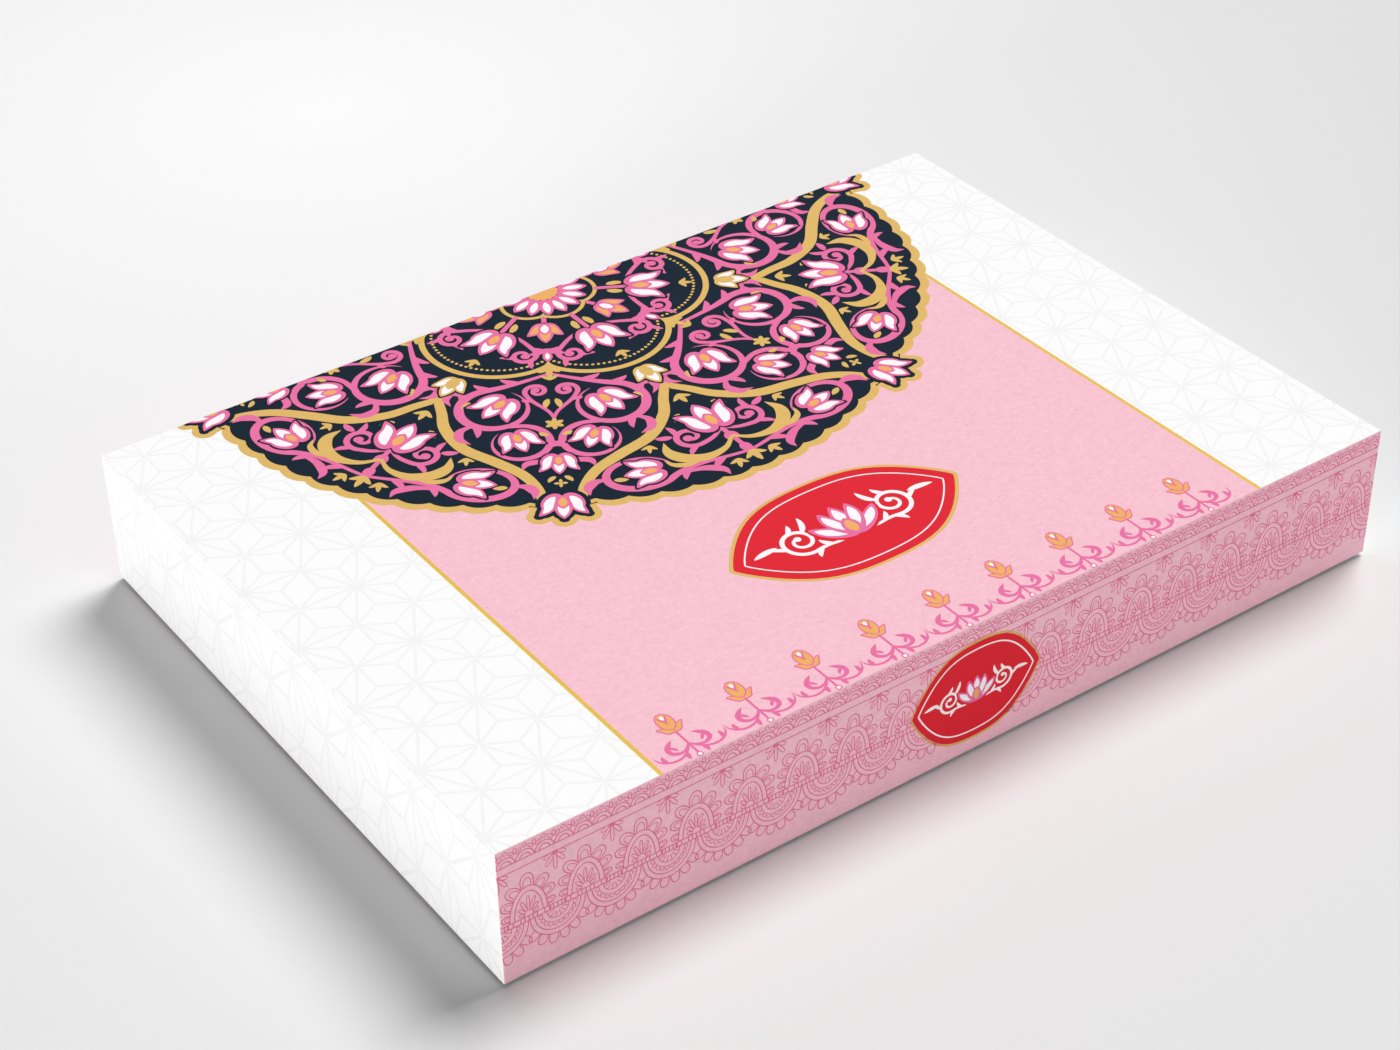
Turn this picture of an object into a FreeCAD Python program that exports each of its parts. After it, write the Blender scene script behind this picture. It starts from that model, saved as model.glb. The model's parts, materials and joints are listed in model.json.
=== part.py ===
import FreeCAD, Part
import os

# Sweet box: a full-depth lid telescopes over a base tray, with slotted dividers
# and a greaseproof sheet inside. Lid and base are greyboard panels, butted and
# held at the corners by paper stays, wrapped in one sheet of paper each.
# Millimetres, +Z up, +X along the long side, front at -Y.
# The origin is the middle of the underside.

# Closed box, outside
box_length = 300.0
box_width = 210.0
box_height = 44.0

# Sheet stock
board = 1.5
wrap = 0.2
lining = 0.2
stay_tape = 0.08
paste = 0.02

# Fits between lid and base
lid_clearance = 0.5
rim_gap = 0.2
skirt_gap = 1.0

# Underside of the base
sole = 0.2
sole_margin = 2.0
turn_under = 15.0

# Corner stays
stay_leg = 18.0
stay_end_margin = 2.0

# Lining sheets
lining_clearance = 0.3

# Dividers
columns = 4
rows = 3
divider_board = 0.8
divider_headroom = 3.6
divider_end_clearance = 0.3
divider_seat = 0.1
divider_corner = 4.0
slot_clearance = 0.1

# Greaseproof sheet
sheet_thickness = 0.12
sheet_margin = 1.5
sheet_seat = 0.1

# Paper folds, in thicknesses of the wrapping paper
fold_radius_share = 2.0

# How far cutting blocks run past what they cut
overrun = 1.0

# Layers of a wrapped wall and floor, measured in from the outside
glue_line = stay_tape + paste
board_inset = wrap + glue_line
leaf_inset = board_inset + board + glue_line
wall_stack = leaf_inset + wrap
floor_board_top = board_inset + board
lining_low = floor_board_top + glue_line
floor_top = lining_low + lining
fold_radius = wrap * fold_radius_share

# Lid and base, which follow the closed box
lid_depth = box_height - skirt_gap
base_length = box_length - 2 * (wall_stack + lid_clearance)
base_width = box_width - 2 * (wall_stack + lid_clearance)
base_rim = box_height - floor_top - rim_gap
base_depth = base_rim - sole
base_floor = sole + floor_top

# Room inside the base and the compartments in it
inner_length = base_length - 2 * wall_stack
inner_width = base_width - 2 * wall_stack
column_pitch = inner_length / columns
row_pitch = inner_width / rows
divider_low = base_floor + divider_seat
divider_high = base_rim - divider_headroom
divider_middle = (divider_low + divider_high) / 2
slot_width = divider_board + 2 * slot_clearance


def block(x_range, y_range, z_range):
    """A box between two bounds, in either order, on each axis."""
    bounds = [sorted(pair) for pair in (x_range, y_range, z_range)]
    sizes = [high - low for low, high in bounds]
    return Part.makeBox(*sizes, FreeCAD.Vector(*[low for low, high in bounds]))


def centred(length, width, low, high):
    """A box centred on the Z axis."""
    return block((-length / 2, length / 2), (-width / 2, width / 2), (low, high))


def floor_panel(length, width):
    """Greyboard panel over the whole floor, which the walls stand on."""
    return centred(length - 2 * board_inset, width - 2 * board_inset, board_inset, floor_board_top)


def long_wall(length, width, depth, side):
    """Greyboard wall over the full length, on the side at -Y or +Y."""
    outer = side * (width / 2 - board_inset)
    reach = length / 2 - board_inset
    return block((-reach, reach), (outer, outer - side * board), (floor_board_top, depth - board_inset))


def short_wall(length, width, depth, side):
    """Greyboard wall at -X or +X, fitted between the long walls."""
    outer = side * (length / 2 - board_inset)
    reach = width / 2 - board_inset - board
    return block((outer, outer - side * board), (-reach, reach), (floor_board_top, depth - board_inset))


def corner_stay(length, width, depth, x_side, y_side):
    """Paper tape folded round one upright corner, in the glue line under the wrap."""
    x_outer = x_side * (length / 2 - wrap - paste)
    y_outer = y_side * (width / 2 - wrap - paste)
    upright = (floor_board_top + stay_end_margin, depth - board_inset - stay_end_margin)
    folded = block((x_outer, x_outer - x_side * stay_leg), (y_outer, y_outer - y_side * stay_leg), upright)
    x_board = x_outer - x_side * stay_tape
    y_board = y_outer - y_side * stay_tape
    board_corner = block((x_board, 0), (y_board, 0), (0, depth))
    return folded.cut(board_corner)


def paper_wrap(length, width, depth):
    """One sheet of paper over the floor and walls, turned in over the rim to the floor."""
    outside = centred(length, width, 0, depth)
    outside = outside.makeFillet(fold_radius, outside.Edges)
    board_room = centred(length - 2 * wrap, width - 2 * wrap, wrap, depth - wrap)
    turned_in = centred(length - 2 * leaf_inset, width - 2 * leaf_inset, lining_low, depth)
    opening_low = (board_inset + floor_board_top) / 2
    opening = centred(length - 2 * wall_stack, width - 2 * wall_stack, opening_low, depth + overrun)
    return outside.cut(board_room.cut(turned_in)).cut(opening)


def floor_lining(length, width):
    """Paper over the inside of the floor, up to the turned-in paper."""
    edge = 2 * (wall_stack + lining_clearance)
    return centred(length - edge, width - edge, lining_low, floor_top)


def wrapped_tray(name, length, width, depth, front):
    """Every piece of one half, floor down; front is the side, -1 or +1, that faces -Y in the end."""
    pieces = {
        f"{name}_lining": floor_lining(length, width),
        f"{name}_wrap": paper_wrap(length, width, depth),
        f"{name}_front_board": long_wall(length, width, depth, front),
        f"{name}_back_board": long_wall(length, width, depth, -front),
        f"{name}_left_board": short_wall(length, width, depth, -1),
        f"{name}_right_board": short_wall(length, width, depth, 1),
    }
    for y_name, y_side in (("front", front), ("back", -front)):
        for x_name, x_side in (("left", -1), ("right", 1)):
            stay = corner_stay(length, width, depth, x_side, y_side)
            pieces[f"{name}_corner_stay_{y_name}_{x_name}"] = stay
    return pieces


def turned_over(shape):
    """The same piece in the lid's pose, with its floor as the top face of the box."""
    lid_piece = shape.copy()
    lid_piece.rotate(FreeCAD.Vector(), FreeCAD.Vector(1, 0, 0), 180)
    lid_piece.translate(FreeCAD.Vector(0, 0, box_height))
    return lid_piece


def make_base():
    """The tray, its wall paper turned under the floor, on the bottom sheet that it stands on."""
    pieces = wrapped_tray("base", base_length, base_width, base_depth, -1)
    pieces["base_floor_board"] = floor_panel(base_length, base_width)
    bare_floor = centred(base_length - 2 * turn_under, base_width - 2 * turn_under, -overrun, board_inset)
    pieces["base_wrap"] = pieces["base_wrap"].cut(bare_floor)
    pieces = {name: shape.translated(FreeCAD.Vector(0, 0, sole)) for name, shape in pieces.items()}
    edge = 2 * sole_margin
    pieces["base_bottom_sheet"] = centred(base_length - edge, base_width - edge, 0, sole)
    return pieces


def make_lid():
    """The lid, a tray turned over, whose skirt stops short of the table."""
    pieces = wrapped_tray("lid", box_length, box_width, lid_depth, 1)
    pieces["lid_top_board"] = floor_panel(box_length, box_width)
    return {name: turned_over(shape) for name, shape in pieces.items()}


def divider_plate(reach):
    """A divider along X, its top corners rounded."""
    half = divider_board / 2
    plate = block((-reach, reach), (-half, half), (divider_low, divider_high))
    top_corners = [
        edge
        for edge in plate.Edges
        if abs(edge.CenterOfMass.x) > reach - half and edge.BoundBox.ZMin > divider_middle
        and edge.BoundBox.XLength < half and edge.BoundBox.YLength > half
    ]
    return plate.makeFillet(divider_corner, top_corners)


def slots(places, low, high):
    """Cutters for the slots of a divider along X, at each place."""
    half_slot = slot_width / 2
    half_cut = divider_board / 2 + overrun
    return [block((x - half_slot, x + half_slot), (-half_cut, half_cut), (low, high)) for x in places]


def lines_between(count, pitch):
    """Places of the lines between a count of equal spaces, about zero."""
    return [(number - count / 2) * pitch for number in range(1, count)]


def make_dividers():
    """Two long dividers slotted from above and three cross dividers slotted from below."""
    cross_places = lines_between(columns, column_pitch)
    long_places = lines_between(rows, row_pitch)
    long_plate = divider_plate(inner_length / 2 - divider_end_clearance)
    cross_plate = divider_plate(inner_width / 2 - divider_end_clearance)
    top_slots = slots(cross_places, divider_middle - slot_clearance, divider_high + overrun)
    bottom_slots = slots(long_places, divider_low - overrun, divider_middle + slot_clearance)
    long_divider = long_plate.cut(Part.makeCompound(top_slots))
    cross_divider = cross_plate.cut(Part.makeCompound(bottom_slots))
    cross_divider.rotate(FreeCAD.Vector(), FreeCAD.Vector(0, 0, 1), 90)
    pieces = {}
    for number, y in enumerate(long_places, 1):
        pieces[f"long_divider_{number}"] = long_divider.translated(FreeCAD.Vector(0, y, 0))
    for number, x in enumerate(cross_places, 1):
        pieces[f"cross_divider_{number}"] = cross_divider.translated(FreeCAD.Vector(x, 0, 0))
    return pieces


def make_sheet():
    """The greaseproof sheet laid over the dividers."""
    low = divider_high + sheet_seat
    length = inner_length - 2 * sheet_margin
    width = inner_width - 2 * sheet_margin
    return {"greaseproof_sheet": centred(length, width, low, low + sheet_thickness)}


def main():
    os.makedirs("parts", exist_ok=True)
    pieces = {**make_base(), **make_dividers(), **make_sheet(), **make_lid()}
    for name, shape in pieces.items():
        solid_count = len(shape.Solids)
        print(f"{name}: {solid_count} solid, valid {shape.isValid()}, {shape.Volume:.1f} mm3")
        shape.exportStep(f"parts/{name}.step")


main()
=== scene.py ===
"""Looks of a sweet box: printed paper on the lid, wrapped base, card dividers and a greaseproof sheet."""
import json
import math
from typing import NamedTuple

import bmesh
import bpy
import numpy as np
from bpy.props import FloatProperty, FloatVectorProperty, IntProperty, PointerProperty
from mathutils import Matrix, Vector


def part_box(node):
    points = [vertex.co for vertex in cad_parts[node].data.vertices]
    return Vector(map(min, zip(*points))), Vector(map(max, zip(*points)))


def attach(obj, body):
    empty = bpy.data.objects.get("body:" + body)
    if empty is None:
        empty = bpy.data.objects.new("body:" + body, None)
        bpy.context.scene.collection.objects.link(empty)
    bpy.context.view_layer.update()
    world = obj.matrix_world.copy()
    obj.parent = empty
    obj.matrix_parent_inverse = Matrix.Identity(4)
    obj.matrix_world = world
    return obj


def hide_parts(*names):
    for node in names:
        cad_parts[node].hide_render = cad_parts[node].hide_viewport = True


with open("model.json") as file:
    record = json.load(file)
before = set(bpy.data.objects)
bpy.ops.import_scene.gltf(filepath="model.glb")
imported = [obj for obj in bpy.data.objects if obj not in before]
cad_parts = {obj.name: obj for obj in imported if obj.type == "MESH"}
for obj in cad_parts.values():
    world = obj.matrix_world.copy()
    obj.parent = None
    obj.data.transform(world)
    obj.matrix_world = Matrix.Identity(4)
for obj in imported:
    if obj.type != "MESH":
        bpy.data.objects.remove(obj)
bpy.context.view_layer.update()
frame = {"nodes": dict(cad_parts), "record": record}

bl_info = {
    "name": "Sweet box looks",
    "version": (1, 0, 0),
    "blender": (4, 5, 0),
    "location": "View3D > Sidebar > Sweet box",
    "description": "Prints, papers and stage of a sweet box with a telescoping lid",
    "category": "Object",
}

MM = 0.001

# The printed lid, in millimetres, from the frame; its paper is folded to this radius
LID_LOW, LID_HIGH = (np.array(corner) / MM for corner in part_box("lid_wrap"))
LID_LENGTH, LID_WIDTH, LID_DEPTH = LID_HIGH - LID_LOW
FOLD_RADIUS = 0.4
FOLD_CUT_SHARES = (0.25, 0.5, 0.75, 1.0)

# Ink films stand on the paper in thin levels, with their undersides just sunk into it
FILM_BASE = 0.006
FILM_LEVEL = 0.014
FILM_SINK = 0.004
FILM_STAGGER = 0.0008
FLAT_MAP = "OFBake"
CUT_REACH = 1e-6

# Steps along drawn strokes, how full leaves and petals are, and the width that a stroke's tip keeps
VINE_STEPS = 44
LEAF_STEPS = 12
BEAD_STEPS = 8
CURVE_STEPS = 6
ARC_STEPS = 16
LEAF_POWER = 0.8
LEAF_BELLY_SHARE = 0.45
MIDDLE_SHARE = 0.5
PETAL_POWER = 0.75
HAIR = 0.02

# Decimal places of a length in the panel
LENGTH_DIGITS = 4


def srgb(red, green, blue):
    """The linear colour of a screen colour from 0 to 255, by the sRGB curve."""
    share = np.array([red, green, blue]) / 255
    linear = np.where(share <= 0.04045, share / 12.92, ((share + 0.055) / 1.055) ** 2.4)
    return tuple(linear.tolist())


def length_property(name, description, default):
    """A length in metres that a user may change."""
    return FloatProperty(
        name=name, description=description, default=default, min=0.0, precision=LENGTH_DIGITS,
        subtype="DISTANCE", unit="LENGTH",
    )


def amount_property(name, description, default):
    """A strength or another plain amount that a user may change."""
    return FloatProperty(name=name, description=description, default=default, min=0.0)


def count_property(name, description, default):
    """A count that a user may change."""
    return IntProperty(name=name, description=description, default=default, min=1)


def angle_property(name, description, degrees):
    """An angle that a user may change."""
    return FloatProperty(name=name, description=description, default=math.radians(degrees), subtype="ANGLE")


def colour_property(name, description, screen):
    """A colour that a user may change, from its screen values."""
    return FloatVectorProperty(
        name=name, description=description, default=srgb(*screen), min=0.0, max=1.0, size=3, subtype="COLOR"
    )


# Flat ornament, in millimetres: every stroke is a band with a left and a right edge


def unit(degrees):
    """Unit vectors at angles in degrees, counted from +X towards +Y."""
    angle = np.radians(degrees)
    return np.stack([np.cos(angle), np.sin(angle)], axis=-1)


def headings_of(path):
    """The direction of a path at each of its points, in degrees."""
    slope = np.gradient(path, axis=-2)
    return np.degrees(np.arctan2(slope[..., 1], slope[..., 0]))


def band(path, widths, closed=False):
    """Edges of a band: its path plus and minus half the width along the path's left normal."""
    if closed:
        slope = np.roll(path, -1, axis=-2) - np.roll(path, 1, axis=-2)
    else:
        slope = np.gradient(path, axis=-2)
    slope = slope / np.linalg.norm(slope, axis=-1, keepdims=True)
    normal = np.stack([-slope[..., 1], slope[..., 0]], axis=-1)
    half = np.broadcast_to(widths, path.shape[:-1])[..., None] / 2
    return np.stack([path + normal * half, path - normal * half], axis=-2)


def line(start, end, width):
    """A straight stroke, or one for each pair of points in two arrays."""
    return band(np.stack(np.broadcast_arrays(start, end), axis=-2).astype(float), width)


def pointed_line(start, end, width, start_angle, end_angle):
    """Straight strokes between two arrays of points, pointed at each end at half angles in degrees."""
    ahead = (end - start) / np.linalg.norm(end - start, axis=1, keepdims=True)
    tapers = [width / 2 / math.tan(math.radians(angle)) for angle in (start_angle, end_angle)]
    path = np.stack([start, start + ahead * tapers[0], end - ahead * tapers[1], end], axis=1)
    path += ahead[:, None] * np.array([HAIR, 0, 0, -HAIR])[:, None]
    return band(path, np.array([HAIR, width, width, HAIR]))


def swell(root, belly, tip, steps):
    """Width that runs from root to belly at mid-length and on to tip, on a cosine."""
    share = np.linspace(0, 1, steps)
    ends = np.where(share < 0.5, root, tip)
    return ends + (belly - ends) * (1 - np.cos(2 * np.pi * share)) / 2


def drop(root, belly, peak, steps):
    """Width that grows from root to belly at a share of the length, then falls to a point."""
    share = np.linspace(0, 1, steps)
    rise = root + (belly - root) * np.sin(np.pi / 2 * np.minimum(share / peak, 1)) ** 2
    fall = np.cos(np.pi / 2 * np.clip((share - peak) / (1 - peak), 0, 1))
    return rise * fall + HAIR


def curve(points, steps=CURVE_STEPS):
    """A smooth path through points: cubic stretches, with a slope at a point that joins its neighbours."""
    points = np.asarray(points, float)
    slopes = np.gradient(points, axis=0)[:, None]
    share = np.linspace(0, 1, steps, endpoint=False)[:, None]
    path = (
        points[:-1, None] * (2 * share**3 - 3 * share**2 + 1)
        + slopes[:-1] * (share**3 - 2 * share**2 + share)
        + points[1:, None] * (3 * share**2 - 2 * share**3)
        + slopes[1:] * (share**3 - share**2)
    )
    return np.concatenate([path.reshape(-1, 2), points[-1:]])


def overrun(path, reach):
    """A path made longer at both ends, straight on."""
    ends = path[[0, -1]] - path[[1, -2]]
    ends = ends / np.linalg.norm(ends, axis=1, keepdims=True) * reach
    return np.concatenate([[path[0] + ends[0]], path, [path[-1] + ends[1]]])


def mitred(bands, heading):
    """Bands cut to a mitre: points past a line through the centre, square to a heading, go back onto it."""
    normal = unit(heading)
    past = np.maximum(bands @ normal, 0)
    return bands - past[..., None] * normal


def bend_path(start, start_heading, end, end_heading, reach):
    """A cubic curve between two points that leaves and arrives at given headings."""
    share = np.linspace(0, 1, VINE_STEPS // 2)[:, None]
    start, end = np.asarray(start, float), np.asarray(end, float)
    first = start + unit(start_heading) * reach
    last = end - unit(end_heading) * reach
    return (
        start * (1 - share) ** 3
        + 3 * first * share * (1 - share) ** 2
        + 3 * last * share**2 * (1 - share)
        + end * share**3
    )


def turned(points, degrees, size=1.0):
    """Points turned about the origin and scaled."""
    cosine, sine = unit(degrees) * size
    return points @ np.array([[cosine, sine], [-sine, cosine]])


def coil_path(centre, outer, inner, begin, sweep, oval, tilt):
    """A spiral about a centre, drawn out along a tilted axis: its radius falls evenly to the inner one."""
    share = np.linspace(0, 1, VINE_STEPS)
    radius = outer + (inner - outer) * share
    path = unit(begin + sweep * share) * radius[:, None] * [oval, 1.0]
    return np.asarray(centre, float) + turned(path, tilt)


def arc_path(centre, radius_x, radius_y, begin, end, steps=ARC_STEPS):
    """Part of an ellipse between two angles."""
    return np.asarray(centre, float) + unit(np.linspace(begin, end, steps)) * [radius_x, radius_y]


def leaf_profile(share, belly):
    """A leaf's width from 0 to 1: a product of powers of the shares from root and from tip."""
    profile = share ** (belly / (1 - belly)) * (1 - share)
    return (profile / profile.max()) ** LEAF_POWER


def leaf(start, heading, length, width, turn=0.0, belly=LEAF_BELLY_SHARE):
    """A leaf whose middle line bends evenly by a turn from root to tip."""
    share = (1 - np.cos(np.linspace(0, np.pi, LEAF_STEPS))) / 2
    middles = (share[1:] + share[:-1]) / 2
    strides = np.diff(share)[:, None] * length * unit(heading + turn * middles)
    path = np.concatenate([[start], start + np.cumsum(strides, axis=0)])
    return band(path, width * leaf_profile(share, belly) + HAIR)


def shoots(path, shares, side, length, width, lean, turn):
    """Leaves along a path at shares of its points, leaning off to one side and turning on."""
    places = (np.asarray(shares) * (len(path) - 1)).astype(int)
    headings = headings_of(path)[places] + side * lean
    roots = zip(path[places], headings)
    return [leaf(root, heading, length, width, side * turn) for root, heading in roots]


def bead(centre, radius, steps=BEAD_STEPS):
    """A disc in strips: half the width is the root of one less the square of the height."""
    height = -np.cos(np.linspace(0, np.pi, steps))
    path = np.asarray(centre, float)[..., None, :] + np.stack([0 * height, radius * height], axis=-1)
    return band(path, 2 * radius * np.sqrt(np.maximum(1 - height**2, 0)) + HAIR)


def petals(roots, headings, length, width, line_width, pinch, steps):
    """Outlines of round petals: a full half oval ahead of each root, its feet drawn in by the pinch."""
    turn = np.linspace(0, np.pi, steps)
    rise = np.maximum(np.sin(turn), 0) ** PETAL_POWER
    ahead = np.multiply.outer(np.broadcast_to(length, np.shape(headings)), rise)[..., None]
    aside = -np.cos(turn) / 2 * (1 - pinch * (1 - rise))
    aside = np.multiply.outer(np.broadcast_to(width, np.shape(headings)), aside)[..., None]
    headings = np.asarray(headings, float)[:, None]
    path = np.asarray(roots, float)[:, None] + ahead * unit(headings) + aside * unit(headings + 90)
    return band(path, line_width)


def spread(path, count, side):
    """Places at the middles of equal steps along a path, and the headings square to it on one side."""
    steps = np.linalg.norm(np.diff(path, axis=0), axis=1)
    run = np.concatenate([[0], np.cumsum(steps)])
    at = (np.arange(count) + 0.5) / count * run[-1]
    places = np.stack([np.interp(at, run, path[:, axis]) for axis in (0, 1)], axis=1)
    return places, np.interp(at, run, np.unwrap(headings_of(path), period=360)) + side * 90


class Art:
    """Printed bands, each with its ink, its level and whether it runs round into itself."""

    def __init__(self, bands=()):
        self.bands = list(bands)

    def add(self, ink, level, bands, closed=False):
        """Adds bands of one ink on one level."""
        bands = np.asarray(bands, float)
        self.bands.append((ink, level, bands.reshape(-1, *bands.shape[-3:]), closed))

    def join(self, other, level=0):
        """Adds what another art holds, raised by a level."""
        self.bands += [(ink, own + level, bands, closed) for ink, own, bands, closed in other.bands]

    def changed(self, change):
        """The same art with its bands changed by a function."""
        return Art((ink, level, change(bands), closed) for ink, level, bands, closed in self.bands)

    def moved(self, turn=0.0, size=1.0, to=(0.0, 0.0)):
        """The same art scaled, turned, then shifted."""
        return self.changed(lambda bands: turned(bands, turn, size) + np.asarray(to))

    def stretched(self, across, up):
        """The same art scaled by one factor across and another up."""
        return self.changed(lambda bands: bands * [across, up])

    def both_sides(self):
        """The art with its mirror image, whose bands have their edges swapped so that they face up."""
        image = self.changed(lambda bands: (bands * [-1.0, 1.0])[:, :, ::-1])
        return Art(self.bands + image.bands)

    def ring(self, angles):
        """Copies of the art turned about the centre."""
        result = Art()
        for angle in angles:
            result.join(self.moved(turn=angle))
        return result

    def row(self, places):
        """Copies of the art at places along X."""
        result = Art()
        for place in places:
            result.join(self.moved(to=(place, 0.0)))
        return result


# Motifs that the prints share


class Petal(NamedTuple):
    """A petal of a flower one unit tall: points along its middle, on the right-hand side, and its width."""

    points: tuple
    width: float


class Vine(NamedTuple):
    """A stem that runs into a coil or an oval, with leaves along it, in millimetres and degrees."""

    start: tuple
    heading: float
    reach: float
    centre: tuple
    radius: float
    begin: float
    sweep: float
    width: float = 1.8
    ink: str = "rose"
    inner_share: float = 0.2
    oval: float = 1.0
    tilt: float = 0.0
    outer_leaf_shares: tuple = ()
    inner_leaf_shares: tuple = ()
    leaf: float = 5.6


class Scroll(NamedTuple):
    """A leaf along a line through points: its widths at the root and at the belly, and where that lies."""

    ink: str
    points: tuple
    root: float
    belly: float
    peak_share: float


class Leaf(NamedTuple):
    """A single leaf of a print."""

    ink: str
    start: tuple
    heading: float
    length: float
    width: float
    turn: float = 0.0


class Blade(NamedTuple):
    """An upright leaf on a motif's axis: its foot, length and width, and where it is widest."""

    foot: float
    length: float
    width: float
    belly_share: float = MIDDLE_SHARE


class Flower(NamedTuple):
    """A flower of a print: its kind, the foot that it stands on, its height and its turn from upright."""

    kind: str
    place: tuple
    size: float
    turn: float = 0.0


class Spray(NamedTuple):
    """Ornaments of one part of a print: those of one side, which are mirrored, and those on its axis."""

    vines: tuple = ()
    scrolls: tuple = ()
    leaves: tuple = ()
    flowers: tuple = ()
    axis_flowers: tuple = ()
    stems: tuple = ()


# Parts of flowers one unit tall: petals in tiers from the back, and leaves on the axis
LOTUS_PETALS = (
    Petal(((0, 0), (0.3, 0.2), (0.58, 0.42), (0.8, 0.66)), 0.32),
    Petal(((0, 0), (0, 0.5), (0, 1.06)), 0.4),
    Petal(((0.02, 0), (0.18, 0.34), (0.3, 0.66), (0.34, 0.98)), 0.34),
)
TULIP_PETALS = (
    Petal(((0, 0.1), (0, 0.5), (0, 1.04)), 0.5),
    Petal(((0, 0), (0.22, 0.06), (0.36, 0.3), (0.42, 0.58), (0.65, 0.86)), 0.43),
)
PALMETTE_PETALS = (
    Petal(((0, 0.1), (0, 0.5), (0, 1.0)), 0.46),
    Petal(((0, 0), (0.16, 0.16), (0.3, 0.42), (0.5, 0.62)), 0.34),
)
BUD_PETALS = (
    Petal(((0.02, 0.08), (0.11, 0.4), (0.13, 0.72), (0.06, 1.0)), 0.29),
    Petal(((0, 0), (0.2, 0.05), (0.31, 0.2), (0.48, 0.34)), 0.15),
)
HEART_EDGE = Blade(-0.02, 0.6, 0.36)
HEART = Blade(0.08, 0.42, 0.21)
GILT_BUD = (
    Leaf("gold", (0, 0), 120, 0.8, 0.28, 40),
    Leaf("gold", (0, 0), 60, 0.8, 0.28, -40),
    Leaf("gold", (0, 0), 90, 1.0, 0.34),
)
STAR_BLADE = Blade(0.0, 1.0, 0.5, 0.55)
DROP_EDGE = Blade(0.0, 1.0, 0.46, 0.55)
DROP_HEART = Blade(0.24, 0.56, 0.22, 0.55)
BUD_FOLD = Blade(0.46, 0.5, 0.28, 0.6)
BUD_GLINT = Blade(0.66, 0.24, 0.13)
BUD_LINES = (Leaf("rose", (-0.17, 0.88), -66, 0.5, 0.06), Leaf("rose", (0.17, 0.88), 246, 0.5, 0.06))

# How petals are edged and filled, and how vines swell and their leaves lean
PETAL_GROUND = 0.07
BUD_GROUND = 0.05
PETAL_FILL_SHARES = (0.2, 0.88)
PETAL_FILL_WIDTH_SHARE = 0.58
PETAL_STEPS_EACH = 5
LEAF_WIDTH_SHARE = 0.32
LEAF_LEAN = 14
LEAF_TURN = 58
VINE_WIDTH_SHARES = (0.7, 1.05, 0.75)
OVAL_WIDTH_SHARES = (0.6, 1.35, 0.5)
VINE_TAIL_SHARE = 0.14
VINE_TAIL_POWER = 0.7
VINE_COIL_SHARE = 0.5
KNOB_SHARE = 0.85

# Levels of the panel's rules, of the medallion's gold frames and of the sprays on them
RULE_LEVEL = 0.5
FRAME_LEVEL = 3
SPRAY_LEVEL = 4


def petal_band(petal, side, ground=0.0):
    """A petal on one side of a flower's axis, with an even edge added all round."""
    path = curve(np.array(petal.points, float) * [side, 1.0], PETAL_STEPS_EACH)
    profile = leaf_profile(np.linspace(0, 1, len(path)), LEAF_BELLY_SHARE)
    return band(path, petal.width * profile + 2 * ground + HAIR)


def petal_fill(petal, side):
    """The paler middle of a petal: the same line, shorter at both ends and slimmer."""
    path = curve(np.array(petal.points, float) * [side, 1.0], PETAL_STEPS_EACH)
    first, last = (round(share * (len(path) - 1)) for share in PETAL_FILL_SHARES)
    path = path[first:last + 1]
    profile = leaf_profile(np.linspace(0, 1, len(path)), MIDDLE_SHARE)
    return band(path, petal.width * PETAL_FILL_WIDTH_SHARE * profile + HAIR)


def blade_band(blade):
    """A blade as a band."""
    return leaf((0, blade.foot), 90, blade.length, blade.width, 0.0, blade.belly_share)


def sides_of(petal):
    """The sides of the axis that a petal stands on: both, or one for a petal on the axis itself."""
    return (1, -1) if petal.points[-1][0] else (1,)


def ground_art(petals_drawn, ink, edge):
    """The outline of a flower filled with one ink, wider than the flower by an edge, with round tips."""
    art = Art()
    for petal in petals_drawn:
        for side in sides_of(petal):
            art.add(ink, 0, petal_band(petal, side, edge))
            art.add(ink, 0, bead(np.array(petal.points[-1]) * [side, 1.0], edge))
    art.add(ink, 0, bead((0, 0), edge))
    return art


def flower_art(petals_drawn, ground="navy", edge="rose", fill="milk", heart="amber"):
    """A flower one unit tall on its ground, in tiers of petals from the back, with a heart at its foot."""
    art = ground_art(petals_drawn, ground, PETAL_GROUND)
    level = 1
    for petal in petals_drawn:
        for side in sides_of(petal):
            art.add(edge, level, petal_band(petal, side))
            art.add(fill, level + 1, petal_fill(petal, side))
        level += 2
    art.add(edge, level, blade_band(HEART_EDGE))
    art.add(heart, level + 1, blade_band(HEART))
    return art


def bud_art():
    """A bud one unit tall: a slim petal between two that flare."""
    art = Art()
    for part in GILT_BUD:
        art.add(part.ink, 0, leaf(*part[1:]))
    return art


def star_art(points):
    """A small flower of slim leaves round a point, one unit in radius."""
    art = Art()
    art.add("gold", 0, blade_band(STAR_BLADE))
    return art.ring(np.arange(points) * 360 / points)


def drop_art():
    """A drop one unit tall: a rose leaf with a pale middle."""
    art = Art()
    art.add("rose", 0, blade_band(DROP_EDGE))
    art.add("milk", 1, blade_band(DROP_HEART))
    return art


def folded_bud_art():
    """A half-open bud one unit tall: amber petals edged with rose, a bright fold, then two sepals."""
    art = Art()
    for tier, petal in enumerate(BUD_PETALS):
        art.join(ground_art((petal,), "rose", BUD_GROUND), 2 * tier)
        for side in sides_of(petal):
            art.add("amber", 2 * tier + 1, petal_band(petal, side))
    level = 2 * len(BUD_PETALS)
    art.add("rule", level, blade_band(BUD_FOLD))
    art.add("milk", level + 1, blade_band(BUD_GLINT))
    for part in BUD_LINES:
        art.add(part.ink, level + 1, leaf(*part[1:]))
    return art


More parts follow.
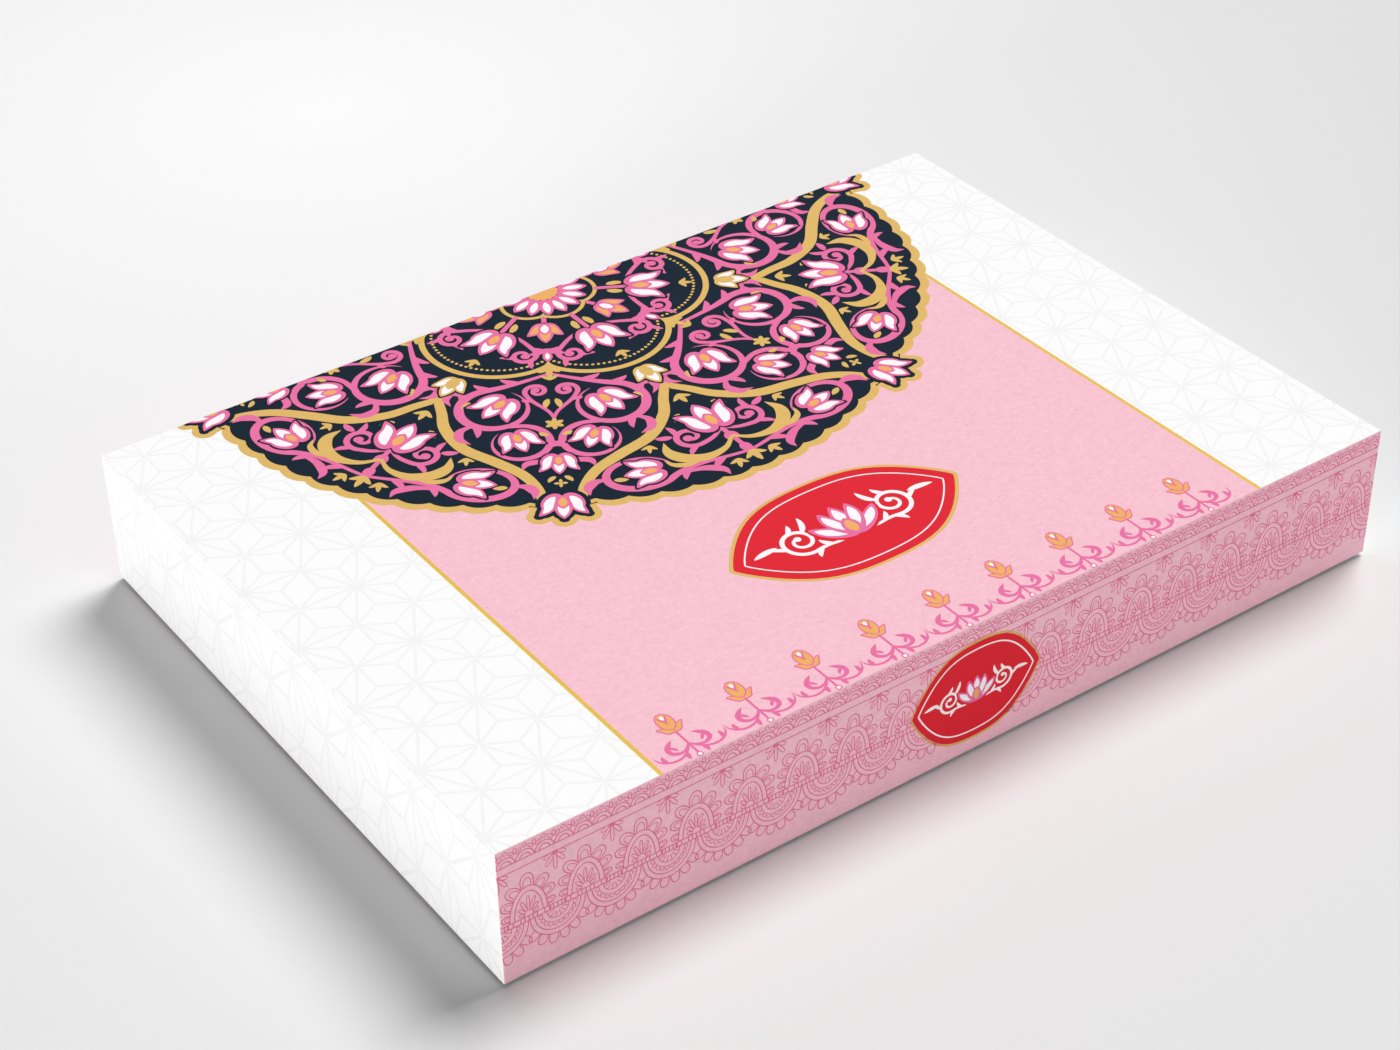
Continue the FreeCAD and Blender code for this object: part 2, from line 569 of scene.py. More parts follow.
# Kinds of flower, each with the level that it stands on above the vines
FLOWER_KINDS = {
    "tulip": (lambda: flower_art(TULIP_PETALS), 2),
    "lotus": (lambda: flower_art(LOTUS_PETALS, ground="red"), 1),
    "palmette": (lambda: flower_art(PALMETTE_PETALS, fill="amber", heart="milk"), 2),
    "gilt tulip": (lambda: flower_art(PALMETTE_PETALS, edge="gold", heart="gold"), 2),
    "bud": (bud_art, 1),
    "folded bud": (folded_bud_art, 1),
    "drop": (drop_art, 2),
    "star": (lambda: star_art(6), 1),
    "small star": (lambda: star_art(4), 1),
}


def scroll_band(scroll):
    """A scroll's line through its points, with a width that grows to the belly and falls to a point."""
    path = curve(scroll.points)
    return band(path, drop(scroll.root, scroll.belly, scroll.peak_share, len(path)))


def vine_art(vine):
    """A vine's stroke, which ends in a coil with a knob or in a pointed oval, and the leaves along it."""
    inner = vine.radius * vine.inner_share
    coil = coil_path(vine.centre, vine.radius, inner, vine.begin, vine.sweep, vine.oval, vine.tilt)
    stem = bend_path(vine.start, vine.heading, coil[0], headings_of(coil)[0], vine.reach)
    path = np.concatenate([stem[:-1], coil])
    art = Art()
    if vine.inner_share < VINE_COIL_SHARE:
        widths = swell(*VINE_WIDTH_SHARES, len(path))
        art.add(vine.ink, 0, bead(path[-1], vine.width * KNOB_SHARE))
    else:
        tail = np.minimum(np.linspace(1, 0, len(path)) / VINE_TAIL_SHARE, 1) ** VINE_TAIL_POWER
        widths = swell(*OVAL_WIDTH_SHARES, len(path)) * tail
    art.add(vine.ink, 0, band(path, vine.width * widths + HAIR))
    outward = -np.sign(vine.sweep)
    for shares, side in ((vine.outer_leaf_shares, outward), (vine.inner_leaf_shares, -outward)):
        if shares:
            wide = vine.leaf * LEAF_WIDTH_SHARE
            art.add(vine.ink, 0, shoots(path, shares, side, vine.leaf, wide, LEAF_LEAN, LEAF_TURN))
    return art


def flower_at(flower):
    """A flower of its kind at its place."""
    make, level = FLOWER_KINDS[flower.kind]
    art = Art()
    art.join(make().moved(turn=flower.turn, size=flower.size, to=flower.place), level)
    return art


def spray_art(spray, level=SPRAY_LEVEL):
    """A spray's ornaments from a level up; what is gold lies one level above what is rose."""
    side = Art()
    for vine in spray.vines:
        side.join(vine_art(vine), level + (vine.ink == "gold"))
    for scroll in spray.scrolls:
        side.add(scroll.ink, level + (scroll.ink == "gold"), scroll_band(scroll))
    for part in spray.leaves:
        side.add(part.ink, level + (part.ink == "gold"), leaf(*part[1:]))
    for flower in spray.flowers:
        side.join(flower_at(flower), level)
    art = side.both_sides()
    for low, high, width in spray.stems:
        art.add("rose", level, line((0, low), (0, high), width))
    for flower in spray.axis_flowers:
        art.join(flower_at(flower), level)
    return art


# Medallion, drawn for a radius of 120 mm with a sector's axis along +Y
MEDALLION_DRAWN = 120.0
SECTORS = 6
SECTOR_TURNS = np.arange(SECTORS) * 360 / SECTORS
HALF_SECTOR = 180 / SECTORS
BETWEEN_TURNS = SECTOR_TURNS + HALF_SECTOR

# Its rim: the radius between and on the sectors' axes, the scallops along it and the gold edge
RIM = (115.2, 119.4)
RIM_POWER = 2.2
RIM_STEPS = 1440
RIM_BORE = 0.4
RIM_EDGE = 2.8
SCALLOP = 1.4
SCALLOPS = 13
SCALLOP_POWER = 0.8

# Its middle: lobed rings by their low and high radius and their width, beads and petals
LOBE_POWER = 0.75
LOBE_STEPS = 40
ROSETTE_RINGS = ((42.6, 51.4, 1.9), (14.4, 16.8, 1.3))
BEAD_RING = (39.0, 47.6)
BEAD_RING_COUNT = 15
BEAD_RADIUS = 0.5
ROSETTE_PETALS = 16
ROSETTE_EDGE = Blade(4.5, 10.0, 4.4)
ROSETTE_FILL = Blade(6.8, 6.4, 2.3)
ROSETTE_HEART = 5.2
ROSETTE_HEART_STEPS = 14

# On a sector's axis: its part of the middle, then the lobe between two ribbons
SECTOR = Spray(
    vines=(
        Vine(
            start=(0, 26.6), heading=186, reach=5, centre=(-12.0, 35.6), radius=4.5, begin=250, sweep=-430,
            width=1.7, outer_leaf_shares=(0.3, 0.46, 0.62), leaf=5.2,
        ),
        Vine(
            start=(0, 94.8), heading=140, reach=4, centre=(-10.0, 93.6), radius=5.2, begin=72, sweep=440,
            outer_leaf_shares=(0.36, 0.56), leaf=6.0,
        ),
        Vine(
            start=(0, 109.4), heading=186, reach=9, centre=(-31.6, 100.4), radius=7.5, begin=40, sweep=306,
            width=2.0, inner_share=0.94, oval=1.4, tilt=17, outer_leaf_shares=(0.1, 0.24), leaf=7.0,
        ),
    ),
    scrolls=(
        Scroll(
            "gold",
            ((0, 100.4), (-4.8, 104.2), (-11.4, 105.0), (-17.2, 102.0), (-19.6, 97.0), (-18.0, 91.8)),
            1.2, 4.2, 0.66,
        ),
        Scroll("gold", ((-12.8, 104.4), (-17.8, 105.0), (-21.8, 102.8), (-23.0, 99.0)), 1.2, 2.1, 0.5),
        Scroll("rose", ((-41.4, 97.2), (-44.8, 96.4), (-47.8, 97.8), (-49.2, 101.0)), 1.4, 3.2, 0.5),
        Scroll("rose", ((-20.4, 107.6), (-15.6, 109.2), (-11.8, 112.6), (-11.6, 116.0)), 1.4, 2.8, 0.5),
    ),
    leaves=(
        Leaf("gold", (-1.8, 20.4), 112, 5.5, 2.2, -30),
        Leaf("rose", (-14.2, 90.8), 190, 5.2, 2.2, 30),
        Leaf("gold", (-39.8, 98.8), 30, 4.2, 2.0, 0),
        Leaf("gold", (-5.6, 82.2), 160, 4.6, 1.9, -40),
        Leaf("rose", (0, 98.0), 40, 4.6, 1.6, 60),
        Leaf("rose", (0, 105.0), 130, 4.6, 1.6, -60),
        Leaf("rose", (-4.0, 61.2), 150, 6.4, 2.2, -50),
    ),
    flowers=(
        Flower("tulip", (-26.2, 102.0), 10.4, 107),
        Flower("bud", (-5.4, 110.8), 4.6, 24),
        Flower("bud", (-22.0, 90.4), 4.0, 30),
    ),
    axis_flowers=(
        Flower("tulip", (0, 27.6), 12.2),
        Flower("tulip", (0, 94.0), 13.0, 180),
        Flower("bud", (0, 43.0), 4.4),
        Flower("gilt tulip", (0, 54.4), 10.6),
        Flower("bud", (0, 109.4), 6.0),
        Flower("bud", (0, 73.2), 5.2),
    ),
    stems=((16.4, 28.0, 1.6), (93.0, 110.0, 1.6)),
)

# Between two sectors: a pear cartouche that points outwards, up to the tulip finial on the rim
BETWEEN = Spray(
    vines=(
        Vine(
            start=(0, 47.6), heading=154, reach=6, centre=(-17.2, 65.0), radius=10.4, begin=262, sweep=-318,
            width=2.2, inner_share=0.95, outer_leaf_shares=(0.16, 0.3, 0.62), leaf=6.8,
        ),
        Vine(
            start=(-20.0, 74.8), heading=12, reach=3, centre=(-10.2, 83.4), radius=8.6, begin=276, sweep=306,
            width=1.7, inner_share=0.95, outer_leaf_shares=(0.5,), leaf=6.0,
        ),
        Vine(
            start=(0, 71.6), heading=258, reach=6, centre=(-4.3, 56.8), radius=3.7, begin=150, sweep=450,
            width=1.6, outer_leaf_shares=(0.24,), leaf=4.8,
        ),
    ),
    scrolls=(
        Scroll("rose", ((-24.0, 73.2), (-27.4, 75.6), (-27.6, 79.6), (-24.4, 82.6)), 1.4, 2.9, 0.5),
        Scroll("rose", ((-25.6, 57.0), (-29.2, 55.0), (-31.0, 58.2), (-29.6, 62.0)), 1.4, 2.9, 0.4),
        Scroll("rose", ((0, 91.6), (-4.6, 93.4), (-9.0, 94.4), (-10.4, 97.4)), 1.2, 2.4, 0.6),
    ),
    leaves=(
        Leaf("rose", (0, 33.6), 128, 6.6, 2.4, 50),
        Leaf("gold", (-1.0, 61.4), 118, 5.0, 2.0, -30),
        Leaf("gold", (-24.0, 60.6), 130, 4.0, 2.0, 0),
        Leaf("gold", (-5.2, 79.2), 20, 3.6, 1.8, 0),
        Leaf("gold", (-1.2, 101.6), 150, 3.6, 1.6, -40),
    ),
    flowers=(Flower("tulip", (-13.4, 60.2), 11.4, 38), Flower("tulip", (-12.0, 78.4), 10.0, -18)),
    axis_flowers=(
        Flower("palmette", (0, 19.4), 11.0),
        Flower("drop", (0, 34.6), 6.4),
        Flower("bud", (0, 44.0), 5.6),
        Flower("bud", (0, 51.2), 4.6, 180),
        Flower("star", (0, 74.6), 3.0),
        Flower("tulip", (0, 91.2), 9.0),
        Flower("small star", (0, 105.0), 2.0),
    ),
    stems=((15.6, 21.0, 1.6),),
)
RIBBON_PATH = (
    (-33.4, 57.8), (-32.4, 65.0), (-31.6, 74.0), (-26.8, 84.4),
    (-17.8, 92.4), (-10.6, 99.4), (-6.6, 107.0), (-5.4, 114.0),
)
RIBBON_WIDTHS = (2.9, 3.9, 2.9)
FINIAL = Flower("tulip", (0, 111.4), 10.6)
FINIAL_GROUNDS = (("gold", 1, 0.34), ("navy", 3.5, 0.14))


def lobed_arc(low, high):
    """Half a lobe of a ring: its radius falls from high on the axis to low, on a power of a cosine."""
    angle = np.linspace(0, HALF_SECTOR, LOBE_STEPS)
    lobe = np.maximum(np.cos(np.radians(angle * 90 / HALF_SECTOR)), 0) ** LOBE_POWER
    return unit(90 + angle) * (low + (high - low) * lobe)[:, None]


def lobed_ring(low, high, width):
    """The whole ring in gold: each half lobe is mitred where it meets the next one."""
    half = Art()
    arc = overrun(lobed_arc(low, high), width)[1:]
    half.add("gold", FRAME_LEVEL, mitred(band(arc, width), 180 + HALF_SECTOR))
    return half.both_sides().ring(SECTOR_TURNS)


def scalloped_disc(inset):
    """The medallion's disc less an inset, as a band from its centre: the radius falls from each sector's
    axis on a power of the angle, and small scallops on a power of a cosine are added."""
    low, high = RIM
    angle = np.arange(RIM_STEPS) / RIM_STEPS * 360
    from_axis = ((angle - 90 + HALF_SECTOR) % (2 * HALF_SECTOR) - HALF_SECTOR) / HALF_SECTOR
    lobe = 1 - np.abs(from_axis) ** RIM_POWER
    scallop = np.abs(np.cos(np.pi * SCALLOPS * from_axis / 2)) ** SCALLOP_POWER
    radius = low + (high - low) * lobe + SCALLOP * scallop - inset
    return np.stack([unit(angle) * RIM_BORE, unit(angle) * radius[:, None]], axis=1)


def ribbon_side():
    """A ribbon along one side of a pear cartouche, mitred where it meets the next cartouche's."""
    path = curve(RIBBON_PATH)
    widths = swell(*RIBBON_WIDTHS, len(path) + 2)
    return mitred(band(overrun(path, RIBBON_WIDTHS[0]), widths), 180 + HALF_SECTOR)


def between_art():
    """What stands between two sectors: a pear cartouche with tulips, and the finial on the rim."""
    ribbon = Art()
    ribbon.add("gold", FRAME_LEVEL, ribbon_side())
    art = ribbon.both_sides()
    for ink, level, edge in FINIAL_GROUNDS:
        art.join(ground_art(TULIP_PETALS, ink, edge).moved(size=FINIAL.size, to=FINIAL.place), level)
    art.join(spray_art(BETWEEN))
    art.join(flower_at(FINIAL), SPRAY_LEVEL)
    return art


def rosette_art():
    """The medallion's middle: a many-petalled flower in a lobed ring, and the lobed frame round it."""
    art = Art()
    for ring in ROSETTE_RINGS:
        art.join(lobed_ring(*ring))
    beads = Art()
    places, headings = spread(lobed_arc(*BEAD_RING), BEAD_RING_COUNT, 1)
    beads.add("gold", FRAME_LEVEL, bead(places, BEAD_RADIUS))
    art.join(beads.both_sides().ring(SECTOR_TURNS))
    petal = Art()
    petal.add("rose", SPRAY_LEVEL, blade_band(ROSETTE_EDGE))
    petal.add("milk", SPRAY_LEVEL + 1, blade_band(ROSETTE_FILL))
    art.join(petal.ring(np.arange(ROSETTE_PETALS) * 360 / ROSETTE_PETALS - 90))
    art.add("amber", SPRAY_LEVEL + 2, bead((0, 0), ROSETTE_HEART, ROSETTE_HEART_STEPS))
    return art


def medallion_art(radius):
    """A round medallion of six sectors, scaled from its drawn radius."""
    art = Art()
    art.add("gold", 1, scalloped_disc(0.0), True)
    art.add("navy", 2, scalloped_disc(RIM_EDGE), True)
    art.join(rosette_art())
    art.join(spray_art(SECTOR).ring(SECTOR_TURNS))
    art.join(between_art().ring(BETWEEN_TURNS))
    return art.moved(size=radius / MEDALLION_DRAWN)


# Label plaque, drawn for half a length of 40 mm: its outline, and its red ground and thin line inside that
LABEL_DRAWN = 40.0
LABEL_STEPS = 41
LABEL_POWER = 0.85
LABEL_SHOULDER_SHARE = 0.3
LABEL_GROUND_SHARES = (0.965, 0.955)
LABEL_LINE_SHARES = (0.87, 0.82)
LABEL_LINE = 0.45
LABEL = Spray(
    vines=(
        Vine(
            start=(-2.5, -5.4), heading=200, reach=6, centre=(-16.0, 0.0), radius=6.4, begin=-70, sweep=-560,
            width=1.3, ink="milk", outer_leaf_shares=(0.3, 0.44, 0.56), inner_leaf_shares=(0.2,), leaf=4.8,
        ),
    ),
    leaves=(Leaf("milk", (-23.0, 1.4), 176, 8.5, 2.0, 20), Leaf("milk", (-13.4, 2.8), 40, 7.6, 1.8, 50)),
    axis_flowers=(Flower("lotus", (0.0, -6.6), 14.0),),
)


def plaque_path(half_size):
    """Outline of a pointed plaque: its height is a power of a cosine, filled out towards the shoulders."""
    share = np.cos(np.linspace(0, np.pi, LABEL_STEPS))
    shoulder = 1 + LABEL_SHOULDER_SHARE * np.sin(np.pi * share / 2) ** 2
    high = np.maximum(np.cos(np.pi * share / 2), 0) ** LABEL_POWER * shoulder
    upper = np.stack([share, high], axis=1) * half_size
    return np.concatenate([upper, upper[-2:0:-1] * [1, -1]])


def plaque_fill(half_size):
    """The same plaque as one band from end to end."""
    outline = plaque_path(half_size)[:LABEL_STEPS][::-1]
    return np.stack([outline, outline * [1, -1]], axis=1)


def label_art(length, height):
    """A red plaque with a thin frame, a lotus and a scroll on either side."""
    half_size = np.array([length, height]) / MM / 2
    art = Art()
    art.add("gold", 1, plaque_fill(half_size))
    art.add("red", 2, plaque_fill(half_size * LABEL_GROUND_SHARES))
    art.add("milk", 3, band(plaque_path(half_size * LABEL_LINE_SHARES), LABEL_LINE, True), True)
    art.join(spray_art(LABEL, 3).moved(size=half_size[0] / LABEL_DRAWN))
    return art


# Sprig row along the front edge, each sprig with its foot at the origin
SPRIG_ROW_OFFSET = 2.8
SPRIG_FOOT = -0.1
SPRIG = Spray(
    scrolls=(
        Scroll(
            "rose",
            ((0.1, 5.8), (1.8, 4.3), (3.8, 3.8), (5.6, 4.7), (5.9, 6.5), (4.6, 8.1), (2.9, 9.3)),
            0.6, 1.5, 0.74,
        ),
        Scroll(
            "rose",
            ((0.1, 5.7), (1.9, 3.6), (4.4, 2.1), (7.1, 2.0), (9.3, 3.1), (10.4, 4.8), (10.6, 6.6)),
            0.6, 0.75, 0.5,
        ),
    ),
    leaves=(
        Leaf("rose", (5.3, 7.0), 215, 2.7, 1.0, 30),
        Leaf("rose", (2.3, 3.3), 300, 2.9, 1.3, -40),
        Leaf("rose", (8.3, 2.4), 60, 3.2, 1.2, 50),
    ),
    axis_flowers=(Flower("folded bud", (0, 11.8), 7.4),),
    stems=((1.2, 12.2, 0.7),),
)
SPRIG_BEAD_HEIGHT = 0.9
SPRIG_BEADS = (("rose", 1, 0.95), ("milk", 2, 0.55))


def sprig_art():
    """One sprig: a bud on a stem, a pair of leafy curls, two long arms and a bead at the foot."""
    art = spray_art(SPRIG, 1)
    for ink, level, radius in SPRIG_BEADS:
        art.add(ink, level, bead((0, SPRIG_BEAD_HEIGHT), radius))
    return art


# Lace border of a skirt, in millimetres down from its top edge: its rules and the weight of its fine lines
LACE_RULES = (-5.45, -7.9, -24.3, -25.9)
FINE_SHARE = 0.8

# Steps along its petals and rings, and how far a petal's feet are drawn in
WIDE_STEPS = 13
LOOP_STEPS = 11
SMALL_STEPS = 8
TINY_STEPS = 7
RING_STEPS = 9
INNER_ARC_STEPS = 12
PINCH = 0.22
INNER_PINCH = 0.1
SLIM_PINCH = 0.5
DROP_PINCH = 0.7

# Fans: radii of the arches and the hub, length and width of the double petals and the rays
FAN_ARCHES = ((5.5, 9.6), (4.1, 8.0))
FAN_HUB = (1.4, 2.0)
FAN_PETAL = (3.9, 4.3)
FAN_SHARES = np.array([0.6, 0.84, 1.0, 1.08, 1.0, 0.84, 0.6])
INNER_PETAL_SHARES = (0.66, 0.55)
RAY = (4.6, 1.3)
RAY_LEANS = (20, 160)
RAY_SHARES = np.array([0.36, 0.55, 0.85, 1.0, 0.85, 0.55, 0.36])

# Hanging scallops: radii of their arcs, the row of beads inside, the ticks and the looped fringe
HANGING_ARCS = ((8.1, 8.4), (6.7, 6.9))
INNER_ARCS = (4.7, 3.3)
HANGING_BEADS = 10
HANGING_BEAD = (0.9, 1.3)
HANGING_BEAD_ARC = (4.9, 5.0, 182, 358)
TICKS = 6
TICK_LEANS = (200, 340)
TICK_REACHES = (1.3, 3.2)
LOOPS = 6
LOOP = (3.0, 3.2)
LOOP_ANGLES = (210, 330)

# Edging: scales in a repeat, then the florets and rings over them
SCALES = 3
SCALE_RADIUS_SHARES = (0.48, 0.28)
FLORET_HEIGHT = -3.2
FLORET_PETALS = 3
FLORET_PETAL = (2.0, 1.3)
FLORET_LEANS = (40, 140)
FLORET_HEART = 0.3
EDGING_RING = 0.6
EDGING_RING_HEIGHT = -1.4

# Between the fans: drops by their lean and length, ties, and rings beside the ties
DROPS = ((200, 3.4), (234, 4.6), (270, 5.6), (306, 4.6), (340, 3.4))
DROP_WIDTH = 1.8
TIE_PLACES = np.array([-2.4, -1.2, 0.0, 1.2, 2.4])
TIE_RING = 0.95
TIE_RING_PLACE = (5.4, -25.1)


def lace_of(*strokes):
    """An art of lace lines."""
    art = Art()
    for stroke in strokes:
        art.add("lace", 1, stroke)
    return art


def ring_line(centre, radius, steps, weight):
    """A ring drawn as a line."""
    return band(arc_path(centre, radius, radius, 0, 360, steps), weight)


def fan_art(weight):
    """An arch of two lines with a ring of double petals round it and a small fan inside."""
    fine = weight * FINE_SHARE
    foot = np.array([0.0, LACE_RULES[2]])
    arches = [arc_path(foot, *radii, 0, 180) for radii in FAN_ARCHES]
    roots, headings = spread(arches[0], len(FAN_SHARES), -1)
    length, width = np.multiply.outer(FAN_PETAL, FAN_SHARES)
    length_share, width_share = INNER_PETAL_SHARES
    leans = np.linspace(*RAY_LEANS, len(RAY_SHARES))
    rays = RAY[0] * RAY_SHARES, RAY[1]
    return lace_of(
        *[band(arch, weight) for arch in arches],
        petals(roots, headings, length, width, weight, PINCH, WIDE_STEPS),
        petals(roots, headings, length * length_share, width * width_share, fine, INNER_PINCH, SMALL_STEPS),
        petals(foot + unit(leans) * FAN_HUB, leans, *rays, fine, SLIM_PINCH, SMALL_STEPS),
        band(arc_path(foot, *FAN_HUB, 0, 180, SMALL_STEPS), fine),
    )


def scallop_art(weight):
    """A hanging scallop of two lines with a row of beads and small arcs inside, and a looped fringe."""
    fine = weight * FINE_SHARE
    middle = np.array([0.0, LACE_RULES[3]])
    roots, headings = spread(arc_path(middle, *HANGING_BEAD_ARC), HANGING_BEADS, 1)
    ticks = unit(np.linspace(*TICK_LEANS, TICKS))
    tick_ends = [middle + ticks * reach for reach in TICK_REACHES]
    loops = spread(arc_path(middle, *HANGING_ARCS[0], *LOOP_ANGLES), LOOPS, -1)
    return lace_of(
        *[band(arc_path(middle, *radii, 180, 360), weight) for radii in HANGING_ARCS],
        petals(roots, headings + 180, *HANGING_BEAD, fine, 0.0, TINY_STEPS),
        *[band(arc_path(middle, reach, reach, 180, 360, INNER_ARC_STEPS), fine) for reach in INNER_ARCS],
        line(*tick_ends, fine),
        petals(*loops, *LOOP, weight, PINCH, LOOP_STEPS),
    )


def edging_art(pitch, weight):
    """One repeat of the edging under the fold: double scales on the rule, florets and rings over them."""
    fine = weight * FINE_SHARE
    step = pitch / SCALES
    radii = [step * share for share in SCALE_RADIUS_SHARES]
    leans = np.linspace(*FLORET_LEANS, FLORET_PETALS)
    roots = np.array([step / 2, FLORET_HEIGHT]) + unit(leans) * FLORET_HEART
    scale = lace_of(
        *[band(arc_path((0, LACE_RULES[0]), reach, reach, 0, 180, RING_STEPS), weight) for reach in radii],
        petals(roots, leans, *FLORET_PETAL, fine, SLIM_PINCH, TINY_STEPS),
        ring_line((0, EDGING_RING_HEIGHT), EDGING_RING, RING_STEPS, fine),
    )
    return scale.row((np.arange(SCALES) + 0.5) * step - pitch / 2)


def lace_art(length, repeats, weight):
    """The lace border over a skirt's length."""
    pitch = length / repeats
    half = length / 2
    fine = weight * FINE_SHARE
    root = [(pitch / 2, LACE_RULES[1])]
    ties = np.concatenate([TIE_PLACES, TIE_PLACES + pitch / 2])
    tie_ends = [np.stack([ties, np.full(len(ties), height)], axis=1) for height in LACE_RULES[2:]]
    rings = [np.multiply(TIE_RING_PLACE, (side, 1)) for side in (-1, 1)]
    repeat = fan_art(weight)
    repeat.join(lace_of(
        *[petals(root, [lean], reach, DROP_WIDTH, fine, DROP_PINCH, RING_STEPS) for lean, reach in DROPS],
        line(*tie_ends, weight),
        *[ring_line(centre, TIE_RING, LOOP_STEPS, weight) for centre in rings],
    ))
    repeat.join(scallop_art(weight).moved(to=(pitch / 2, 0)))
    repeat.join(edging_art(pitch, weight))
    art = repeat.row((np.arange(-1, repeats + 1) + 0.5) * pitch - half)
    art.join(lace_of(*[line((-half, height), (half, height), weight) for height in LACE_RULES]))
    return art


# Star lattice of the white papers: places of one full star, its stretch on a skirt, half angles of strokes
LATTICE_STAR = (-122.7, -83.6)
SKIRT_STAR = (96.0, -7.3)
SKIRT_STRETCH = 1.52
LATTICE_MARGIN = 2
SPOKE_ANGLES = (60, 15)
SIDE_ANGLES = (15, 15)


def lattice_art(edge, line_width, low, high):
    """Triangles in rows, each with spokes from its middle, and sides drawn only at every third crossing."""
    rise = edge * math.sqrt(3) / 2
    reach = int(math.hypot(*(high - low)) / rise) + LATTICE_MARGIN
    column, row = (axis.ravel() for axis in np.meshgrid(np.arange(-reach, reach), np.arange(-reach, reach)))

    def crossing(across, up):
        return np.stack([edge * (column + across + (row + up) / 2), rise * (row + up)], axis=-1)

    art = Art()
    for corners in (((0, 0), (1, 0), (0, 1)), ((1, 0), (1, 1), (0, 1))):
        points = [crossing(*corner) for corner in corners]
        middle = sum(points) / 3
        for point in points:
            art.add("lattice", 0, pointed_line(middle, point, line_width, *SPOKE_ANGLES))
    starred = (column - row) % 3 == 0
    for across, up in ((1, 0), (0, 1), (-1, 1), (-1, 0), (0, -1), (1, -1)):
        ends = crossing(0, 0)[starred], crossing(across, up)[starred]
        art.add("lattice", 0, pointed_line(*ends, line_width, *SIDE_ANGLES))
    return art


# Ink films on the lid's faces


class Face(NamedTuple):
    """A printed face of the lid: the point where its art has its zero, its directions and its corners."""

    origin: tuple
    right: tuple
    up: tuple
    low: np.ndarray
    high: np.ndarray


def skirt(x, y, right, length):
    """A skirt of the lid, whose art is measured down from its top edge."""
    low = np.array([-length / 2, -LID_DEPTH])
    return Face((x, y, LID_HIGH[2]), right, (0, 0, 1), low, np.array([length / 2, 0.0]))


TOP_CORNER = np.array([LID_LENGTH, LID_WIDTH]) / 2
FACES = {
    "top": Face((0, 0, LID_HIGH[2]), (1, 0, 0), (0, 1, 0), -TOP_CORNER, TOP_CORNER),
    "front": skirt(0, LID_LOW[1], (1, 0, 0), LID_LENGTH),
    "back": skirt(0, LID_HIGH[1], (-1, 0, 0), LID_LENGTH),
    "left": skirt(LID_LOW[0], 0, (0, -1, 0), LID_WIDTH),
    "right": skirt(LID_HIGH[0], 0, (0, 1, 0), LID_WIDTH),
}


def staggers(bands):
    """A number for each band: the lowest that no earlier band of its level has which it may cross."""
    levels = np.concatenate([np.full(len(edges), level) for level, edges, closed in bands])
    low = np.concatenate([edges.min(axis=(1, 2)) for level, edges, closed in bands])
    high = np.concatenate([edges.max(axis=(1, 2)) for level, edges, closed in bands])
    numbers = np.zeros(len(low), int)
    for place in range(1, len(low)):
        near = (low[:place] < high[place]).all(axis=1) & (high[:place] > low[place]).all(axis=1)
        taken = numbers[:place][near & (levels[:place] == levels[place])]
        numbers[place] = np.setdiff1d(np.arange(len(taken) + 1), taken)[0]
    return numbers


def flat_mesh(bands, low, high):
    """The bands that reach into a rectangle as one flat mesh, each point at the height of its level."""
    mesh = bmesh.new()
    scratch = bpy.data.meshes.new("flat")
    drawn = 0
    seen = []
    for level, edges, closed in bands:
        inside = (edges.max(axis=(1, 2)) > low).all(axis=1) & (edges.min(axis=(1, 2)) < high).all(axis=1)
        seen.append((level, edges[inside], closed))
    numbers = staggers(seen)
    for level, edges, closed in seen:
        count, steps = edges.shape[:2]
        if not count:
            continue
        stagger = numbers[drawn:drawn + count] * FILM_STAGGER
        drawn += count
        height = np.broadcast_to(stagger[:, None, None, None], edges.shape[:-1] + (1,))
        height = height + FILM_BASE + level * FILM_LEVEL
        points = np.concatenate([edges, height], axis=-1).reshape(-1, 3)
        number = np.arange(len(points)).reshape(count, steps, 2)
        ahead = np.roll(number, -1, axis=1)
        quads = np.stack([number[:, :, 0], number[:, :, 1], ahead[:, :, 1], ahead[:, :, 0]], axis=-1)
        quads = quads if closed else quads[:, :-1]
        scratch.clear_geometry()
        scratch.from_pydata(points.tolist(), [], quads.reshape(-1, 4).tolist())
        mesh.from_mesh(scratch)
    bpy.data.meshes.remove(scratch)
    return mesh


def trim(mesh, low, high, window):
    """Cuts a flat mesh off at a window, and slices it where the paper folds at a face's edges."""
    for axis in (0, 1):
        for bound, limit, sign in ((low, window[0], -1), (high, window[1], 1)):
            normal = [0.0, 0.0, 0.0]
            normal[axis] = sign
            folds = [bound[axis] - sign * FOLD_RADIUS * share for share in FOLD_CUT_SHARES]
            for place, clear in [(limit[axis], True)] + [(fold, False) for fold in folds]:
                if not any((vertex.co[axis] - place) * sign > 0 for vertex in mesh.verts):
                    continue
                point = [0.0, 0.0, 0.0]
                point[axis] = place
                parts = mesh.verts[:] + mesh.edges[:] + mesh.faces[:]
                bmesh.ops.bisect_plane(
                    mesh, geom=parts, dist=CUT_REACH, plane_co=point, plane_no=normal, clear_outer=clear
                )
    bmesh.ops.triangulate(mesh, faces=mesh.faces[:])


def folded(points, heights, face):
    """Points of a face's art on the lid: a point is pressed back onto the box shrunk by the fold radius,
    then stands off it by that radius and its height, so that the film follows the paper round a fold."""
    place = face.origin + points[:, :1] * np.array(face.right) + points[:, 1:2] * np.array(face.up)
    core = np.clip(place, LID_LOW + FOLD_RADIUS, LID_HIGH - FOLD_RADIUS)
    outward = place - core
    outward /= np.linalg.norm(outward, axis=1, keepdims=True)
    return core + outward * (FOLD_RADIUS + heights)[:, None]


